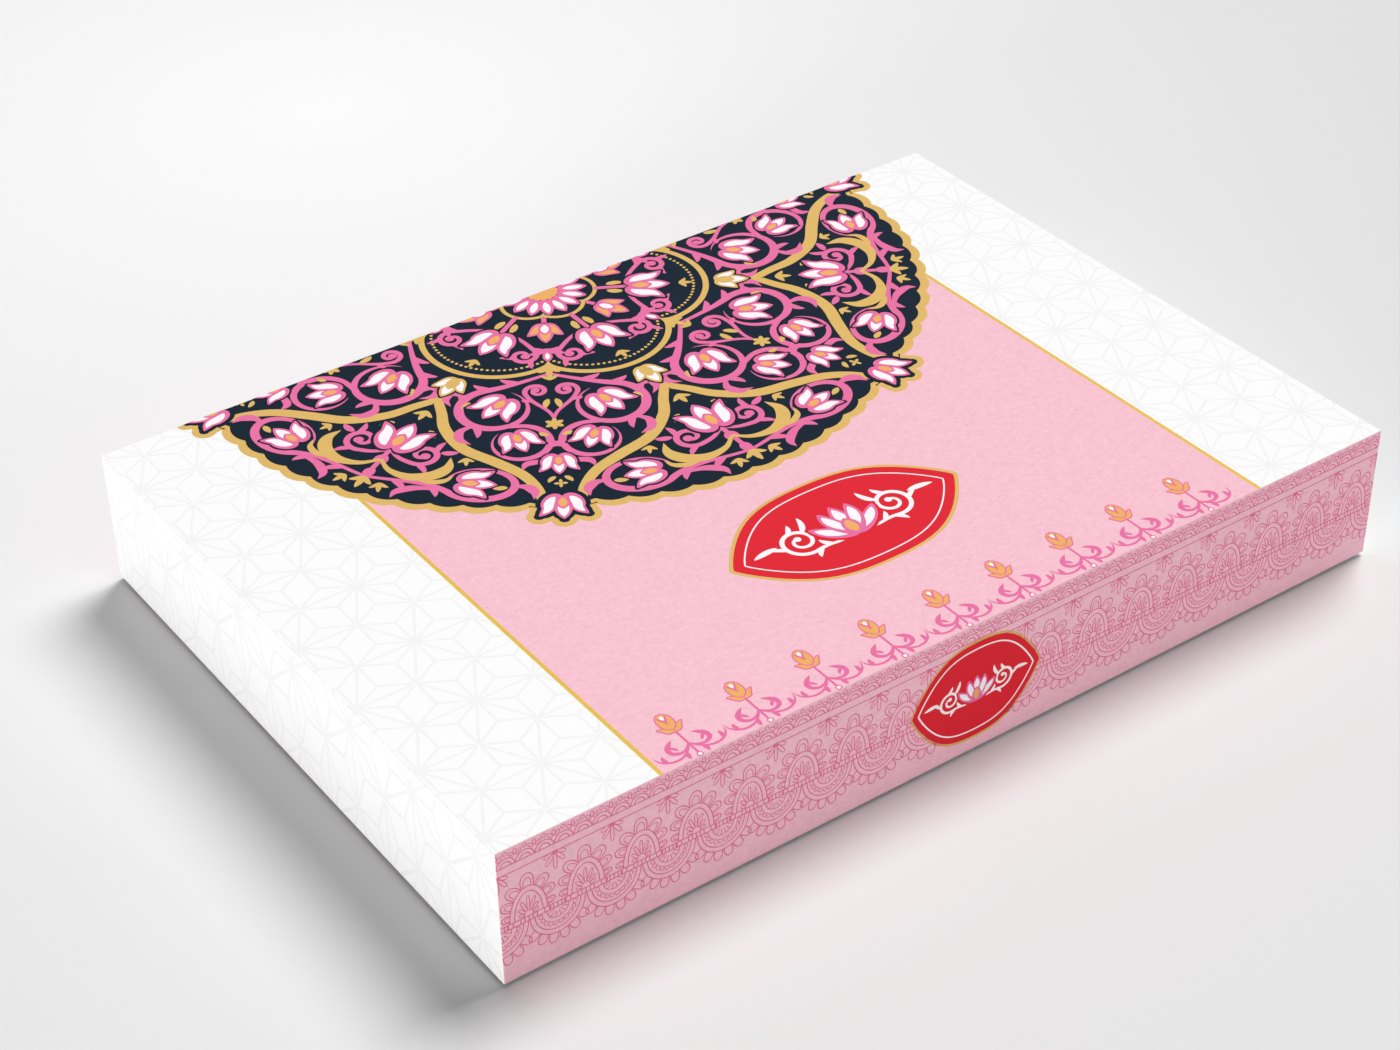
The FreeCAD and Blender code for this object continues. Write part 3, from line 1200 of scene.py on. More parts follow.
def closed_film(points, triangles):
    """A film's triangles: the flat mesh on top, its image turned over below, and two on each open edge."""
    count = len(points)
    begin = triangles.ravel()
    end = np.roll(triangles, -1, axis=1).ravel()
    is_open = ~np.isin(end * count + begin, begin * count + end)
    begin, end = begin[is_open], end[is_open]
    walls = np.stack([end, begin, begin + count, end, begin + count, end + count], axis=1).reshape(-1, 3)
    return np.concatenate([triangles, triangles[:, ::-1] + count, walls])


def mesh_of(name, points, triangles, flat=None):
    """A mesh from arrays of points, in millimetres, and triangles, with its flat art as a map."""
    mesh = bpy.data.meshes.new(name)
    mesh.vertices.add(len(points))
    mesh.vertices.foreach_set("co", (points * MM).astype(np.float32).ravel())
    mesh.loops.add(triangles.size)
    mesh.loops.foreach_set("vertex_index", triangles.astype(np.int32).ravel())
    mesh.polygons.add(len(triangles))
    mesh.polygons.foreach_set("loop_start", np.arange(0, triangles.size, 3, dtype=np.int32))
    mesh.update(calc_edges=True)
    if flat is not None:
        span = np.ptp(flat, axis=0)
        places = (flat - flat.min(axis=0)) / np.where(span > 0, span, 1)
        layer = mesh.uv_layers.new(name=FLAT_MAP)
        layer.uv.foreach_set("vector", places[triangles.ravel()].astype(np.float32).ravel())
    return mesh


def new_piece(name, mesh, material, body):
    """A piece of the object that moves with a body and takes its finish from a material slot."""
    mesh.materials.append(material)
    piece = bpy.data.objects.new(name, mesh)
    bpy.context.scene.collection.objects.link(piece)
    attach(piece, body)
    return piece


def arrays_of(flat):
    """Points and triangles of a mesh under construction, which is freed."""
    mesh = bpy.data.meshes.new("trimmed")
    flat.to_mesh(mesh)
    flat.free()
    points = np.empty(len(mesh.vertices) * 3, np.float32)
    mesh.vertices.foreach_get("co", points)
    triangles = np.empty(len(mesh.loops), np.int32)
    mesh.loops.foreach_get("vertex_index", triangles)
    bpy.data.meshes.remove(mesh)
    return points.reshape(-1, 3).astype(float), triangles.reshape(-1, 3).astype(np.int64)


def print_art(context, name, art, side, window=None):
    """One closed film of each ink of the art, on one face of the lid."""
    face = FACES[side]
    window = window or (face.low, face.high)
    for ink in sorted({ink for ink, level, bands, closed in art.bands}):
        bands = [(level, bands, closed) for own, level, bands, closed in art.bands if own == ink]
        flat = flat_mesh(bands, *window)
        trim(flat, face.low, face.high, window)
        points, triangles = arrays_of(flat)
        heights = np.concatenate([points[:, 2], np.full(len(points), -FILM_SINK)])
        flat_places = np.concatenate([points[:, :2], points[:, :2]])
        solid = folded(flat_places, heights, face)
        mesh = mesh_of(f"{name}_{ink}", solid, closed_film(points, triangles), flat_places)
        mesh.shade_flat()
        new_piece(f"{name}_{ink}", mesh, ink_material(context, ink), "lid")


# Materials


class Grain(NamedTuple):
    """Noise of a material: features to the metre, octaves, and how much each octave adds."""

    scale: float
    detail: float
    roughness: float


class Finish(NamedTuple):
    """A surface: its darkest and lightest shade and roughness, its relief as a strength and a depth in
    millimetres, and its shine."""

    tones: tuple
    rough: tuple
    bump: float
    relief: float
    shine: float


NOISE_EDGES = (0.3, 0.7)
PAPER_TOOTH = Grain(1500.0, 3.0, 0.6)
PAPER_CLOUD = Grain(850.0, 4.0, 0.65)
PAPER_CLOUD_SHARE = 0.65
PAPER_SPECKS = Grain(420.0, 4.0, 0.7)
PAPER_BUMP = 0.6
FIBRE_STRETCH = (0.7, 1.0, 1.0)
SPECK_EDGES = (0.64, 0.74)
SPECK_SHADE = 0.7
PANEL_TONE = 0.13
PANEL_SPECKS = 0.5
FOIL_METAL = 0.05
BOARD = Finish((0.86, 1.1), (0.8, 0.95), 0.7, 0.05, 0.2)
BOARD_FELT = Grain(700.0, 5.0, 0.7)
BOARD_FLECKS = Grain(2600.0, 2.0, 0.5)
FLECK_EDGES = (0.64, 0.72)
FLECK_STRENGTH = 0.6
CARD_FELT = Grain(1800.0, 4.0, 0.7)
CARD_EDGE_TONES = (0.85, 1.15)
GLASSINE = Finish((0.95, 1.03), (0.32, 0.45), 0.4, 0.02, 0.5)
GLASSINE_CLOUD = Grain(220.0, 5.0, 0.7)
GLASSINE_TOOTH = Grain(900.0, 3.0, 0.6)
FLOOR_TOOTH = Grain(600.0, 3.0, 0.5)
FLOOR_ROUGH = (0.85, 0.95)
FLOOR_SHINE = 0.1
# A pool of light painted into the floor's colour: where its middle lies behind the box, and how far it
# reaches
PAINTED_LIGHT_PLACE = (0.045, 0.33, 0.0)
PAINTED_LIGHT_REACH = (0.42, 0.42, 0.42)


def feed(tree, made, inputs):
    """Gives a node its inputs: a socket is linked, and a value is set."""
    for key, value in inputs.items():
        if isinstance(value, bpy.types.NodeSocket):
            tree.links.new(value, made.inputs[key])
        else:
            made.inputs[key].default_value = value


def node(tree, kind, inputs=None, **settings):
    """A shader node with its settings and its inputs, which are values or sockets to link."""
    made = tree.nodes.new(kind)
    for name, value in settings.items():
        setattr(made, name, value)
    feed(tree, made, inputs or {})
    return made


def shade(colour, factor=1.0):
    """A colour made darker or lighter, as a node's four values."""
    return tuple(min(1.0, channel * factor) for channel in colour) + (1.0,)


def noise(tree, place, grain):
    """Noise from 0 to 1."""
    inputs = {"Vector": place, "Scale": grain.scale, "Detail": grain.detail, "Roughness": grain.roughness}
    return node(tree, "ShaderNodeTexNoise", inputs).outputs["Fac"]


def two_tone(tree, factor, low, high):
    """A colour between two by a factor."""
    return node(tree, "ShaderNodeMix", {0: factor, 6: low, 7: high}, data_type="RGBA").outputs[2]


def ramp(tree, factor, edges, low, high):
    """A number that runs from low to high as a factor runs from one edge to the other."""
    inputs = {"Value": factor, "From Min": edges[0], "From Max": edges[1], "To Min": low, "To Max": high}
    return node(tree, "ShaderNodeMapRange", inputs).outputs["Result"]


def mottled(tree, grain, colour, tones):
    """A colour that runs from its darkest to its lightest shade with a grain."""
    dark, light = (shade(colour, tone) for tone in tones)
    return two_tone(tree, ramp(tree, grain, NOISE_EDGES, 0.0, 1.0), dark, light)


def dress(tree, shader, tint, finish, rough, height):
    """Gives a shader its colour and shine, and a roughness and a relief that each follow a grain."""
    bump = {"Height": height, "Strength": finish.bump, "Distance": finish.relief * MM}
    feed(tree, shader, {
        "Base Color": tint,
        "Roughness": ramp(tree, rough, NOISE_EDGES, *finish.rough),
        "Normal": node(tree, "ShaderNodeBump", bump).outputs["Normal"],
        "Specular IOR Level": finish.shine,
    })


def new_material(name):
    """A material with its tree, its shader and the place of a point on the object."""
    material = bpy.data.materials.new(name)
    material.use_nodes = True
    tree = material.node_tree
    place = node(tree, "ShaderNodeTexCoord").outputs["Object"]
    return material, tree, tree.nodes["Principled BSDF"], place


def paper_material(name, colour, tone=0.05, relief=0.02, rough=(0.6, 0.75), shine=0.04, specks=0.0):
    """Uncoated paper or ink on it: soft clouds and long fibres in the colour, and a fine tooth."""
    material, tree, shader, place = new_material(name)
    finish = Finish((1 - tone, 1 + tone / 2), rough, PAPER_BUMP, relief, shine)
    fibres = node(tree, "ShaderNodeMapping", {"Vector": place, "Scale": FIBRE_STRETCH}).outputs["Vector"]
    tooth = noise(tree, fibres, PAPER_TOOTH)
    cloud = noise(tree, fibres, PAPER_CLOUD)
    mottle = node(tree, "ShaderNodeMix", {0: PAPER_CLOUD_SHARE, 2: tooth, 3: cloud}).outputs[0]
    tint = mottled(tree, mottle, colour, finish.tones)
    if specks:
        spot = ramp(tree, noise(tree, fibres, PAPER_SPECKS), SPECK_EDGES, 0.0, specks)
        tint = two_tone(tree, spot, tint, shade(colour, SPECK_SHADE))
    dress(tree, shader, tint, finish, rough=tooth, height=tooth)
    return material


def foil_material(name, colour):
    """Gold ink: paper's tooth under a dull metal."""
    material = paper_material(name, colour, tone=0.08, rough=(0.5, 0.65), shine=0.1)
    material.node_tree.nodes["Principled BSDF"].inputs["Metallic"].default_value = FOIL_METAL
    return material


def fleck_material(name, colour, fleck):
    """Recycled board: a felted grain with dark flecks."""
    material, tree, shader, place = new_material(name)
    felt = noise(tree, place, BOARD_FELT)
    spot = ramp(tree, noise(tree, place, BOARD_FLECKS), FLECK_EDGES, 0.0, FLECK_STRENGTH)
    tint = two_tone(tree, spot, mottled(tree, felt, colour, BOARD.tones), shade(fleck))
    dress(tree, shader, tint, BOARD, rough=felt, height=felt)
    return material


def card_material(name, colour, core, axis):
    """White-lined card: paper on the two faces square to an axis, and a felted core on the cut edges."""
    material = paper_material(name, colour, tone=0.04, relief=0.03)
    tree = material.node_tree
    shader = tree.nodes["Principled BSDF"]
    face = shader.inputs["Base Color"].links[0].from_socket
    coordinates = node(tree, "ShaderNodeTexCoord").outputs
    facing = {0: coordinates["Normal"], 1: axis}
    across = node(tree, "ShaderNodeVectorMath", facing, operation="DOT_PRODUCT").outputs["Value"]
    square = node(tree, "ShaderNodeMath", {0: across}, operation="ABSOLUTE").outputs["Value"]
    edge = mottled(tree, noise(tree, coordinates["Object"], CARD_FELT), core, CARD_EDGE_TONES)
    feed(tree, shader, {"Base Color": two_tone(tree, square, edge, face)})
    return material


def floor_material(name, colour, painted_light):
    """Matt backdrop paper: one tone, with a painted pool of light that lightens it softly towards a place
    behind the box.
    """
    material, tree, shader, place = new_material(name)
    middle = {"Vector": place, "Location": PAINTED_LIGHT_PLACE, "Scale": PAINTED_LIGHT_REACH}
    # Painted light: a spherical gradient that lightens the floor's colour towards the colour of the painted
    # pool of light
    offset = node(tree, "ShaderNodeMapping", middle, vector_type="TEXTURE").outputs["Vector"]
    painted_pool = node(tree, "ShaderNodeTexGradient", {"Vector": offset}, gradient_type="SPHERICAL").outputs["Fac"]
    feed(tree, shader, {
        "Base Color": two_tone(tree, painted_pool, shade(colour), shade(painted_light)),
        "Roughness": ramp(tree, noise(tree, place, FLOOR_TOOTH), NOISE_EDGES, *FLOOR_ROUGH),
        "Specular IOR Level": FLOOR_SHINE,
    })
    return material


def greaseproof_material(name, colour):
    """Glassine: smooth, faintly cloudy paper with a slight gloss."""
    material, tree, shader, place = new_material(name)
    cloud = noise(tree, place, GLASSINE_CLOUD)
    tint = mottled(tree, cloud, colour, GLASSINE.tones)
    dress(tree, shader, tint, GLASSINE, rough=cloud, height=noise(tree, place, GLASSINE_TOOTH))
    return material


def ink_material(context, ink):
    """The material of an ink, made once."""
    name = f"ink_{ink}"
    if name in bpy.data.materials:
        return bpy.data.materials[name]
    colour = tuple(getattr(context.scene.sweet_box_inks, ink))
    if ink in ("gold", "rule"):
        return foil_material(name, colour)
    if ink == "panel":
        return paper_material(name, colour, PANEL_TONE, specks=PANEL_SPECKS)
    return paper_material(name, colour)


# Greaseproof sheet: its grid, its thickness and how far it rises
SHEET_STEPS = (97, 65)
SHEET_THICKNESS = 0.06
SHEET_RISE = 2.6

# What its rise is made of: creases by height and fall, waves by turns across and along and by their start
CREASES = ((0.5, 9), (0.4, 7))
WAVE_HEIGHT = 0.22
WAVES = ((5.1, 2.2, 0.6), (-1.9, 3.7, math.pi / 2))
RIPPLE_HEIGHT = 0.06
RIPPLES = ((17, -9, 0.0), (6, 13, 1.0))
CORNER_HEIGHT = 0.8
CORNER_POWER = 6


def crossed_waves(s, t, waves):
    """The product of two sine waves over a grid, raised by one so that it never falls below zero."""
    first, second = (np.sin(across * s + along * t + start) for across, along, start in waves)
    return first * second + 1


def crinkled_sheet(low, high):
    """Upper and lower surfaces of a thin sheet that was folded in four: over a grid of shares across and
    along, its height is the crease ridges, slow waves, ripples and lifted corners added up, and it never
    dips below its seat."""
    s, t = np.meshgrid(*[np.linspace(-1, 1, steps) for steps in SHEET_STEPS], indexing="ij")
    crease = sum(top * np.exp(-np.abs(share) * fall) for share, (top, fall) in zip((s, t), CREASES))
    waves = WAVE_HEIGHT * crossed_waves(s, t, WAVES)
    ripple = RIPPLE_HEIGHT * crossed_waves(s, t, RIPPLES)
    corner = CORNER_HEIGHT * np.abs(s * t) ** CORNER_POWER
    height = crease + waves + ripple + corner
    height = low[2] + SHEET_RISE * height / height.max()
    x = (low[0] + high[0]) / 2 + s * (high[0] - low[0]) / 2
    y = (low[1] + high[1]) / 2 + t * (high[1] - low[1]) / 2
    under = np.stack([x, y, height], axis=-1)
    return under + [0.0, 0.0, SHEET_THICKNESS], under


def grid_triangles(rows, columns):
    """Triangles over a grid of points, two to a cell, facing up."""
    number = np.arange(rows * columns).reshape(rows, columns)
    corners = [number[:-1, :-1], number[1:, :-1], number[1:, 1:], number[:-1, 1:]]
    a, b, c, d = (corner.ravel() for corner in corners)
    return np.concatenate([np.stack([a, b, c], 1), np.stack([a, c, d], 1)])


# Stage
FLOOR_DROP = 0.05
SENSOR_WIDTH = 36.0
CAMERA_CLIP = (0.01, 100.0)


def outward(azimuth, elevation):
    """Unit vector towards a place at an azimuth round the box and a height above the horizon."""
    level = math.cos(elevation)
    return Vector((math.sin(azimuth) * level, -math.cos(azimuth) * level, math.sin(elevation)))


def add_sun(name, strength, azimuth, elevation, spread):
    """A wide soft lamp that shines on the box from a direction."""
    lamp = bpy.data.lights.new(name, "SUN")
    lamp.energy = strength
    lamp.angle = spread
    sun = bpy.data.objects.new(name, lamp)
    sun.rotation_euler = outward(azimuth, elevation).to_track_quat("Z", "Y").to_euler()
    bpy.context.scene.collection.objects.link(sun)


def set_world(scene, ambient, backdrop):
    """Even light from all round, and a pale backdrop for what the camera, gloss and glass see of it."""
    scene.world = bpy.data.worlds.new("studio")
    scene.world.use_nodes = True
    tree = scene.world.node_tree
    rays = node(tree, "ShaderNodeLightPath").outputs
    seen = rays["Is Camera Ray"]
    for name in ("Is Glossy Ray", "Is Transmission Ray"):
        seen = node(tree, "ShaderNodeMath", {0: seen, 1: rays[name]}, operation="MAXIMUM").outputs["Value"]
    strength = node(tree, "ShaderNodeMix", {0: seen, 2: ambient, 3: backdrop}).outputs[0]
    light = tree.nodes["Background"]
    light.inputs["Color"].default_value = (1.0, 1.0, 1.0, 1.0)
    tree.links.new(strength, light.inputs["Strength"])


def add_camera(scene, stage):
    """A camera that looks at a point from a direction and a distance, rolled about its axis."""
    back = outward(stage.azimuth, stage.elevation)
    level = Vector((math.cos(stage.azimuth), math.sin(stage.azimuth), 0.0))
    right = Matrix.Rotation(stage.roll, 3, back) @ level
    up = back.cross(right)
    place = Vector(stage.aim) + back * stage.distance
    data = bpy.data.cameras.new("camera")
    data.lens = stage.lens
    data.sensor_width = SENSOR_WIDTH
    data.clip_start, data.clip_end = CAMERA_CLIP
    camera = bpy.data.objects.new("camera", data)
    turn = Matrix((right, up, back)).transposed()
    camera.matrix_world = Matrix.Translation(place) @ turn.to_4x4()
    scene.collection.objects.link(camera)
    scene.camera = camera


# Properties that a user may change


class SWEETBOX_PG_print(bpy.types.PropertyGroup):
    """Sizes of the print on the lid."""

    panel_width: length_property("Panel width", "Width of the tinted panel on top", 0.2032)
    rule_width: length_property("Rule width", "Width of the gold rules beside the panel", 0.0012)
    medallion_radius: length_property("Medallion radius", "Radius of the half medallion", 0.12)
    label_length: length_property("Label length", "Length of the label on top", 0.079)
    label_height: length_property("Label height", "Height of the label on top", 0.0432)
    label_from_middle: length_property("Label place", "From the middle forward to the label", 0.0484)
    skirt_label_length: length_property("Skirt label length", "Length of the label on the front", 0.0456)
    skirt_label_height: length_property("Skirt label height", "Height of the label on the front", 0.0334)
    skirt_label_drop: length_property("Skirt label drop", "From the top edge down to that label", 0.0223)
    sprig_count: count_property("Sprigs", "Sprigs along the front edge", 9)
    sprig_pitch: length_property("Sprig pitch", "From one sprig to the next", 0.02165)
    lattice_edge: length_property("Lattice edge", "Side of the star lattice's triangles", 0.0174)
    lattice_line: length_property("Lattice line", "Width of the star lattice's lines", 0.0008)
    lace_repeats: count_property("Lace repeats", "Repeats of the lace on a skirt", 18)
    lace_line: length_property("Lace line", "Width of the lace's lines", 0.00034)


class SWEETBOX_PG_inks(bpy.types.PropertyGroup):
    """Colours of the inks."""

    panel: colour_property("Panel", "Tint of the panel and of the front and back", (250, 196, 210))
    rule: colour_property("Rule", "Yellow gold of the rules beside the panel", (226, 186, 80))
    gold: colour_property("Gold", "Gold of the outlines", (219, 180, 102))
    navy: colour_property("Navy", "Ground of the medallion", (21, 34, 48))
    rose: colour_property("Rose", "Vines, petals and sprigs", (233, 116, 165))
    milk: colour_property("Milk", "Hearts of the petals and label lines", (254, 246, 249))
    amber: colour_property("Amber", "Hearts of the flowers", (240, 176, 104))
    red: colour_property("Red", "Labels", (224, 42, 55))
    lace: colour_property("Lace", "Lines of the lace", (228, 120, 155))
    lattice: colour_property("Lattice", "Lines of the star lattice", (244, 244, 244))


class SWEETBOX_PG_papers(bpy.types.PropertyGroup):
    """Colours of the papers and boards."""

    lid: colour_property("Lid paper", "Unprinted paper of the lid", (250, 250, 250))
    base: colour_property("Base paper", "Paper round the base", (240, 178, 196))
    lining: colour_property("Lining", "Paper inside lid and base", (247, 240, 226))
    sole: colour_property("Bottom sheet", "Paper under the base", (236, 232, 224))
    stay: colour_property("Stays", "Tape round the board's corners", (176, 140, 100))
    board: colour_property("Greyboard", "Board of lid and base", (160, 154, 146))
    fleck: colour_property("Flecks", "Flecks in the greyboard", (92, 86, 80))
    card: colour_property("Divider card", "Card of the dividers", (244, 241, 234))
    greaseproof: colour_property("Greaseproof", "Sheet over the dividers", (243, 236, 218))


class SWEETBOX_PG_stage(bpy.types.PropertyGroup):
    """Floor, light and camera."""

    floor: colour_property("Floor", "Colour of the floor", (226, 226, 226))
    # Painted light: the floor's colour where the painted pool of light is brightest
    painted_light: colour_property("Glow", "Colour of the floor where it is lightest", (248, 248, 248))
    floor_reach: length_property("Floor reach", "From the middle of the floor to its edge", 6.0)
    ambient: amount_property("Ambient", "Light from all round", 0.16)
    backdrop: amount_property("Backdrop", "Tone of what lies past the floor", 0.88)
    key: amount_property("Key", "Strength of the main lamp", 3.03)
    key_azimuth: angle_property("Key azimuth", "Main lamp's turn round the box", 108)
    key_elevation: angle_property("Key elevation", "Main lamp's height above the horizon", 58)
    key_spread: angle_property("Key spread", "How wide the main lamp is", 30)
    fill: amount_property("Fill", "Strength of the lamp at the left", 2.33)
    fill_azimuth: angle_property("Fill azimuth", "Second lamp's turn round the box", -65)
    fill_elevation: angle_property("Fill elevation", "Second lamp's height above the horizon", 4)
    fill_spread: angle_property("Fill spread", "How wide the second lamp is", 12)
    azimuth: angle_property("Azimuth", "Camera's turn round the box", -35.1)
    elevation: angle_property("Elevation", "Camera's height above the horizon", 35.649)
    roll: angle_property("Roll", "Camera's tilt about its own axis", -1.052)
    distance: length_property("Distance", "From the camera to the point it looks at", 0.81431)
    aim: FloatVectorProperty(
        name="Aim",
        description="Point that the camera looks at",
        default=(-0.01538, -0.00056, 0.022),
        subtype="TRANSLATION",
        unit="LENGTH",
    )
    lens: FloatProperty(name="Lens", description="Focal length in millimetres", default=72.78, min=1.0)


# Operators, one for each print or group of pieces


class SWEETBOX_OT_print_panel(bpy.types.Operator):
    """Print the tinted panel with its rules, and the ground of the front and back"""

    bl_idname = "sweetbox.print_panel"
    bl_label = "Print panel"

    def execute(self, context):
        sizes = context.scene.sweet_box_print
        half, rule = sizes.panel_width / MM / 2, sizes.rule_width / MM
        reach = LID_WIDTH / 2
        art = Art()
        art.add("panel", 0, line((0, -reach), (0, reach), 2 * half))
        for side in (-1, 1):
            art.add("rule", RULE_LEVEL, line((side * half, -reach), (side * half, reach), rule))
        print_art(context, "panel", art, "top")
        for side in ("front", "back"):
            ground = Art()
            ground.add("panel", 0, line((0, -LID_DEPTH), (0, 0), LID_LENGTH))
            print_art(context, f"{side}_ground", ground, side)
        return {"FINISHED"}


class SWEETBOX_OT_print_medallion(bpy.types.Operator):
    """Print the half medallion at the back edge of the top"""

    bl_idname = "sweetbox.print_medallion"
    bl_label = "Print medallion"

    def execute(self, context):
        radius = context.scene.sweet_box_print.medallion_radius / MM
        art = medallion_art(radius).moved(turn=180, to=(0, LID_WIDTH / 2))
        print_art(context, "medallion", art, "top")
        return {"FINISHED"}


class SWEETBOX_OT_print_labels(bpy.types.Operator):
    """Print the label plaques on the top, front and back"""

    bl_idname = "sweetbox.print_labels"
    bl_label = "Print labels"

    def execute(self, context):
        sizes = context.scene.sweet_box_print
        art = label_art(sizes.label_length, sizes.label_height)
        print_art(context, "top_label", art.moved(to=(0, -sizes.label_from_middle / MM)), "top")
        art = label_art(sizes.skirt_label_length, sizes.skirt_label_height)
        for side in ("front", "back"):
            print_art(context, f"{side}_label", art.moved(to=(0, -sizes.skirt_label_drop / MM)), side)
        return {"FINISHED"}


class SWEETBOX_OT_print_sprigs(bpy.types.Operator):
    """Print the row of sprigs along the front edge of the top"""

    bl_idname = "sweetbox.print_sprigs"
    bl_label = "Print sprigs"

    def execute(self, context):
        sizes = context.scene.sweet_box_print
        count = sizes.sprig_count
        places = (np.arange(count) - (count - 1) / 2) * sizes.sprig_pitch / MM - SPRIG_ROW_OFFSET
        art = sprig_art().row(places).moved(to=(0, -LID_WIDTH / 2 + SPRIG_FOOT))
        print_art(context, "sprigs", art, "top")
        return {"FINISHED"}


class SWEETBOX_OT_print_lace(bpy.types.Operator):
    """Print the lace border on the front and back"""

    bl_idname = "sweetbox.print_lace"
    bl_label = "Print lace"

    def execute(self, context):
        sizes = context.scene.sweet_box_print
        art = lace_art(LID_LENGTH, sizes.lace_repeats, sizes.lace_line / MM)
        for side in ("front", "back"):
            print_art(context, side, art, side)
        return {"FINISHED"}


class SWEETBOX_OT_print_lattice(bpy.types.Operator):
    """Print the pale star lattice on the white papers of the top, left and right"""

    bl_idname = "sweetbox.print_lattice"
    bl_label = "Print lattice"

    def execute(self, context):
        sizes = context.scene.sweet_box_print
        edge, width = sizes.lattice_edge / MM, sizes.lattice_line / MM
        half_panel = sizes.panel_width / MM / 2
        top = FACES["top"]
        art = lattice_art(edge, width, top.low, top.high).moved(to=LATTICE_STAR)
        left_band = (top.low, np.array([-half_panel, top.high[1]]))
        right_band = (np.array([half_panel, top.low[1]]), top.high)
        print_art(context, "top_left", art, "top", left_band)
        print_art(context, "top_right", art, "top", right_band)
        for side in ("left", "right"):
            face = FACES[side]
            art = lattice_art(edge, width, face.low, face.high).moved(turn=90).stretched(1.0, SKIRT_STRETCH)
            print_art(context, side, art.moved(to=SKIRT_STAR), side)
        return {"FINISHED"}


class SWEETBOX_OT_finish_papers(bpy.types.Operator):
    """Give the papers, boards and dividers their materials"""

    bl_idname = "sweetbox.finish_papers"
    bl_label = "Finish papers and boards"

    def execute(self, context):
        papers = context.scene.sweet_box_papers
        finishes = {
            "lid_paper": paper_material("white_paper", tuple(papers.lid), tone=0.02),
            "base_paper": paper_material("base_paper", tuple(papers.base), tone=0.06),
            "lining_paper": paper_material("lining_paper", tuple(papers.lining), tone=0.04),
            "stay_paper": paper_material("stay_tape", tuple(papers.stay), tone=0.2, relief=0.04),
            "greyboard": fleck_material("greyboard", tuple(papers.board), tuple(papers.fleck)),
            "greaseproof": greaseproof_material("greaseproof", tuple(papers.greaseproof)),
        }
        own = {"base_bottom_sheet": paper_material("bottom_sheet", tuple(papers.sole), tone=0.05)}
        for run, axis in (("long", (0, 1, 0)), ("cross", (1, 0, 0))):
            card = card_material(f"{run}_divider_card", tuple(papers.card), tuple(papers.board), axis)
            own.update({name: card for name in frame["nodes"] if name.startswith(f"{run}_divider")})
        for part in frame["record"]["subparts"]:
            name = part["node"]
            finish = own.get(name) or finishes[part["material_slot"]]
            for slot in frame["nodes"][name].material_slots:
                slot.material = finish
        return {"FINISHED"}


class SWEETBOX_OT_lay_sheet(bpy.types.Operator):
    """Lay the greaseproof sheet over the dividers"""

    bl_idname = "sweetbox.lay_sheet"
    bl_label = "Lay greaseproof sheet"

    def execute(self, context):
        low, high = (np.array(corner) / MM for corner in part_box("greaseproof_sheet"))
        upper, under = crinkled_sheet(low, high)
        points = np.concatenate([upper.reshape(-1, 3), under.reshape(-1, 3)])
        rows, columns = upper.shape[:2]
        triangles = closed_film(upper.reshape(-1, 3), grid_triangles(rows, columns))
        mesh = mesh_of("crinkled_sheet", points, triangles)
        piece = new_piece("crinkled_sheet", mesh, bpy.data.materials["greaseproof"], "sheet")
        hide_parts("greaseproof_sheet")
        return {"FINISHED"}


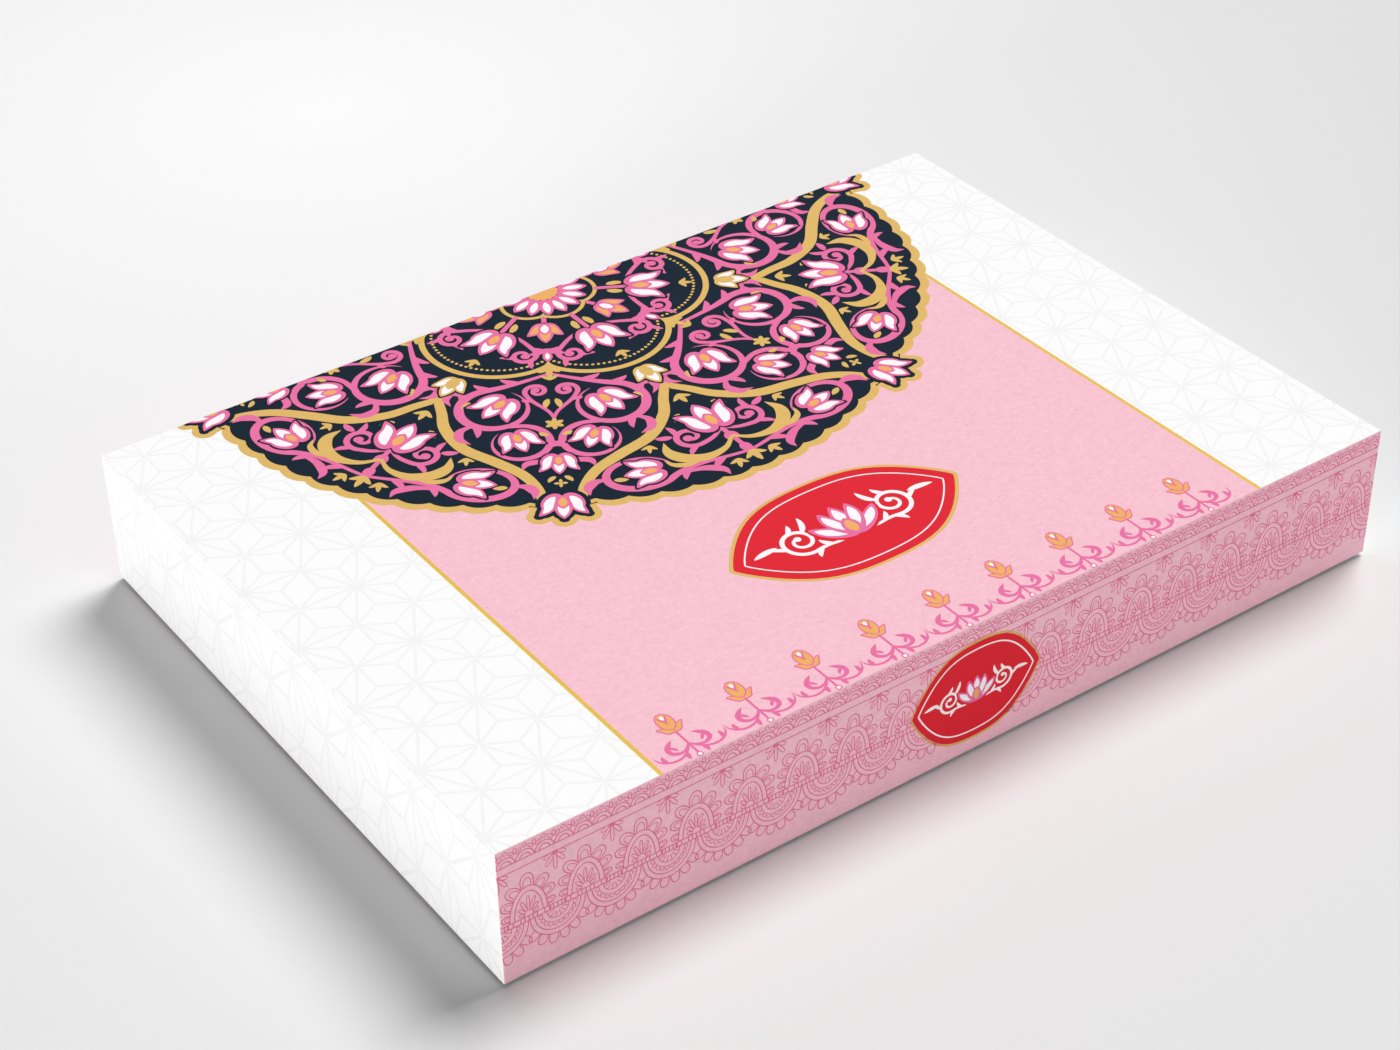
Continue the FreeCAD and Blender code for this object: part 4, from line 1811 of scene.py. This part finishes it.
class SWEETBOX_OT_set_stage(bpy.types.Operator):
    """Set the floor, the lamps and the camera"""

    bl_idname = "sweetbox.set_stage"
    bl_label = "Set stage"

    def execute(self, context):
        scene = context.scene
        stage = scene.sweet_box_stage
        floor_points = np.array([(-1, -1), (1, -1), (-1, 1), (1, 1)]) * stage.floor_reach / MM
        floor_points = np.concatenate([floor_points, np.full((4, 1), -FLOOR_DROP)], axis=1)
        mesh = mesh_of("floor", floor_points, np.array([(0, 1, 3), (0, 3, 2)]))
        mesh.materials.append(floor_material("floor", tuple(stage.floor), tuple(stage.painted_light)))
        floor = bpy.data.objects.new("floor", mesh)
        scene.collection.objects.link(floor)
        add_sun("key", stage.key, stage.key_azimuth, stage.key_elevation, stage.key_spread)
        add_sun("fill", stage.fill, stage.fill_azimuth, stage.fill_elevation, stage.fill_spread)
        set_world(scene, stage.ambient, stage.backdrop)
        add_camera(scene, stage)
        scene.view_settings.view_transform = "Standard"
        return {"FINISHED"}


OPERATORS = (
    SWEETBOX_OT_finish_papers,
    SWEETBOX_OT_print_panel,
    SWEETBOX_OT_print_lattice,
    SWEETBOX_OT_print_medallion,
    SWEETBOX_OT_print_labels,
    SWEETBOX_OT_print_sprigs,
    SWEETBOX_OT_print_lace,
    SWEETBOX_OT_lay_sheet,
    SWEETBOX_OT_set_stage,
)
GROUPS = {
    "sweet_box_print": SWEETBOX_PG_print,
    "sweet_box_inks": SWEETBOX_PG_inks,
    "sweet_box_papers": SWEETBOX_PG_papers,
    "sweet_box_stage": SWEETBOX_PG_stage,
}


class SWEETBOX_PT_panel(bpy.types.Panel):
    """Steps and settings of the sweet box"""

    bl_label = "Sweet box"
    bl_idname = "SWEETBOX_PT_panel"
    bl_space_type = "VIEW_3D"
    bl_region_type = "UI"
    bl_category = "Sweet box"

    def draw(self, context):
        column = self.layout.column(align=True)
        for operator in OPERATORS:
            column.operator(operator.bl_idname)
        for name, group in GROUPS.items():
            settings = self.layout.box().column(align=True)
            for key in group.__annotations__:
                settings.prop(getattr(context.scene, name), key)


def register():
    for cls in (*GROUPS.values(), *OPERATORS, SWEETBOX_PT_panel):
        bpy.utils.register_class(cls)
    for name, group in GROUPS.items():
        setattr(bpy.types.Scene, name, PointerProperty(type=group))


def unregister():
    for name in GROUPS:
        delattr(bpy.types.Scene, name)
    for cls in (SWEETBOX_PT_panel, *reversed(OPERATORS), *reversed(GROUPS.values())):
        bpy.utils.unregister_class(cls)


def main():
    """Makes every piece and the stage."""
    register()
    for operator in OPERATORS:
        section, name = operator.bl_idname.split(".")
        getattr(getattr(bpy.ops, section), name)()


if __name__ == "__main__":
    main()
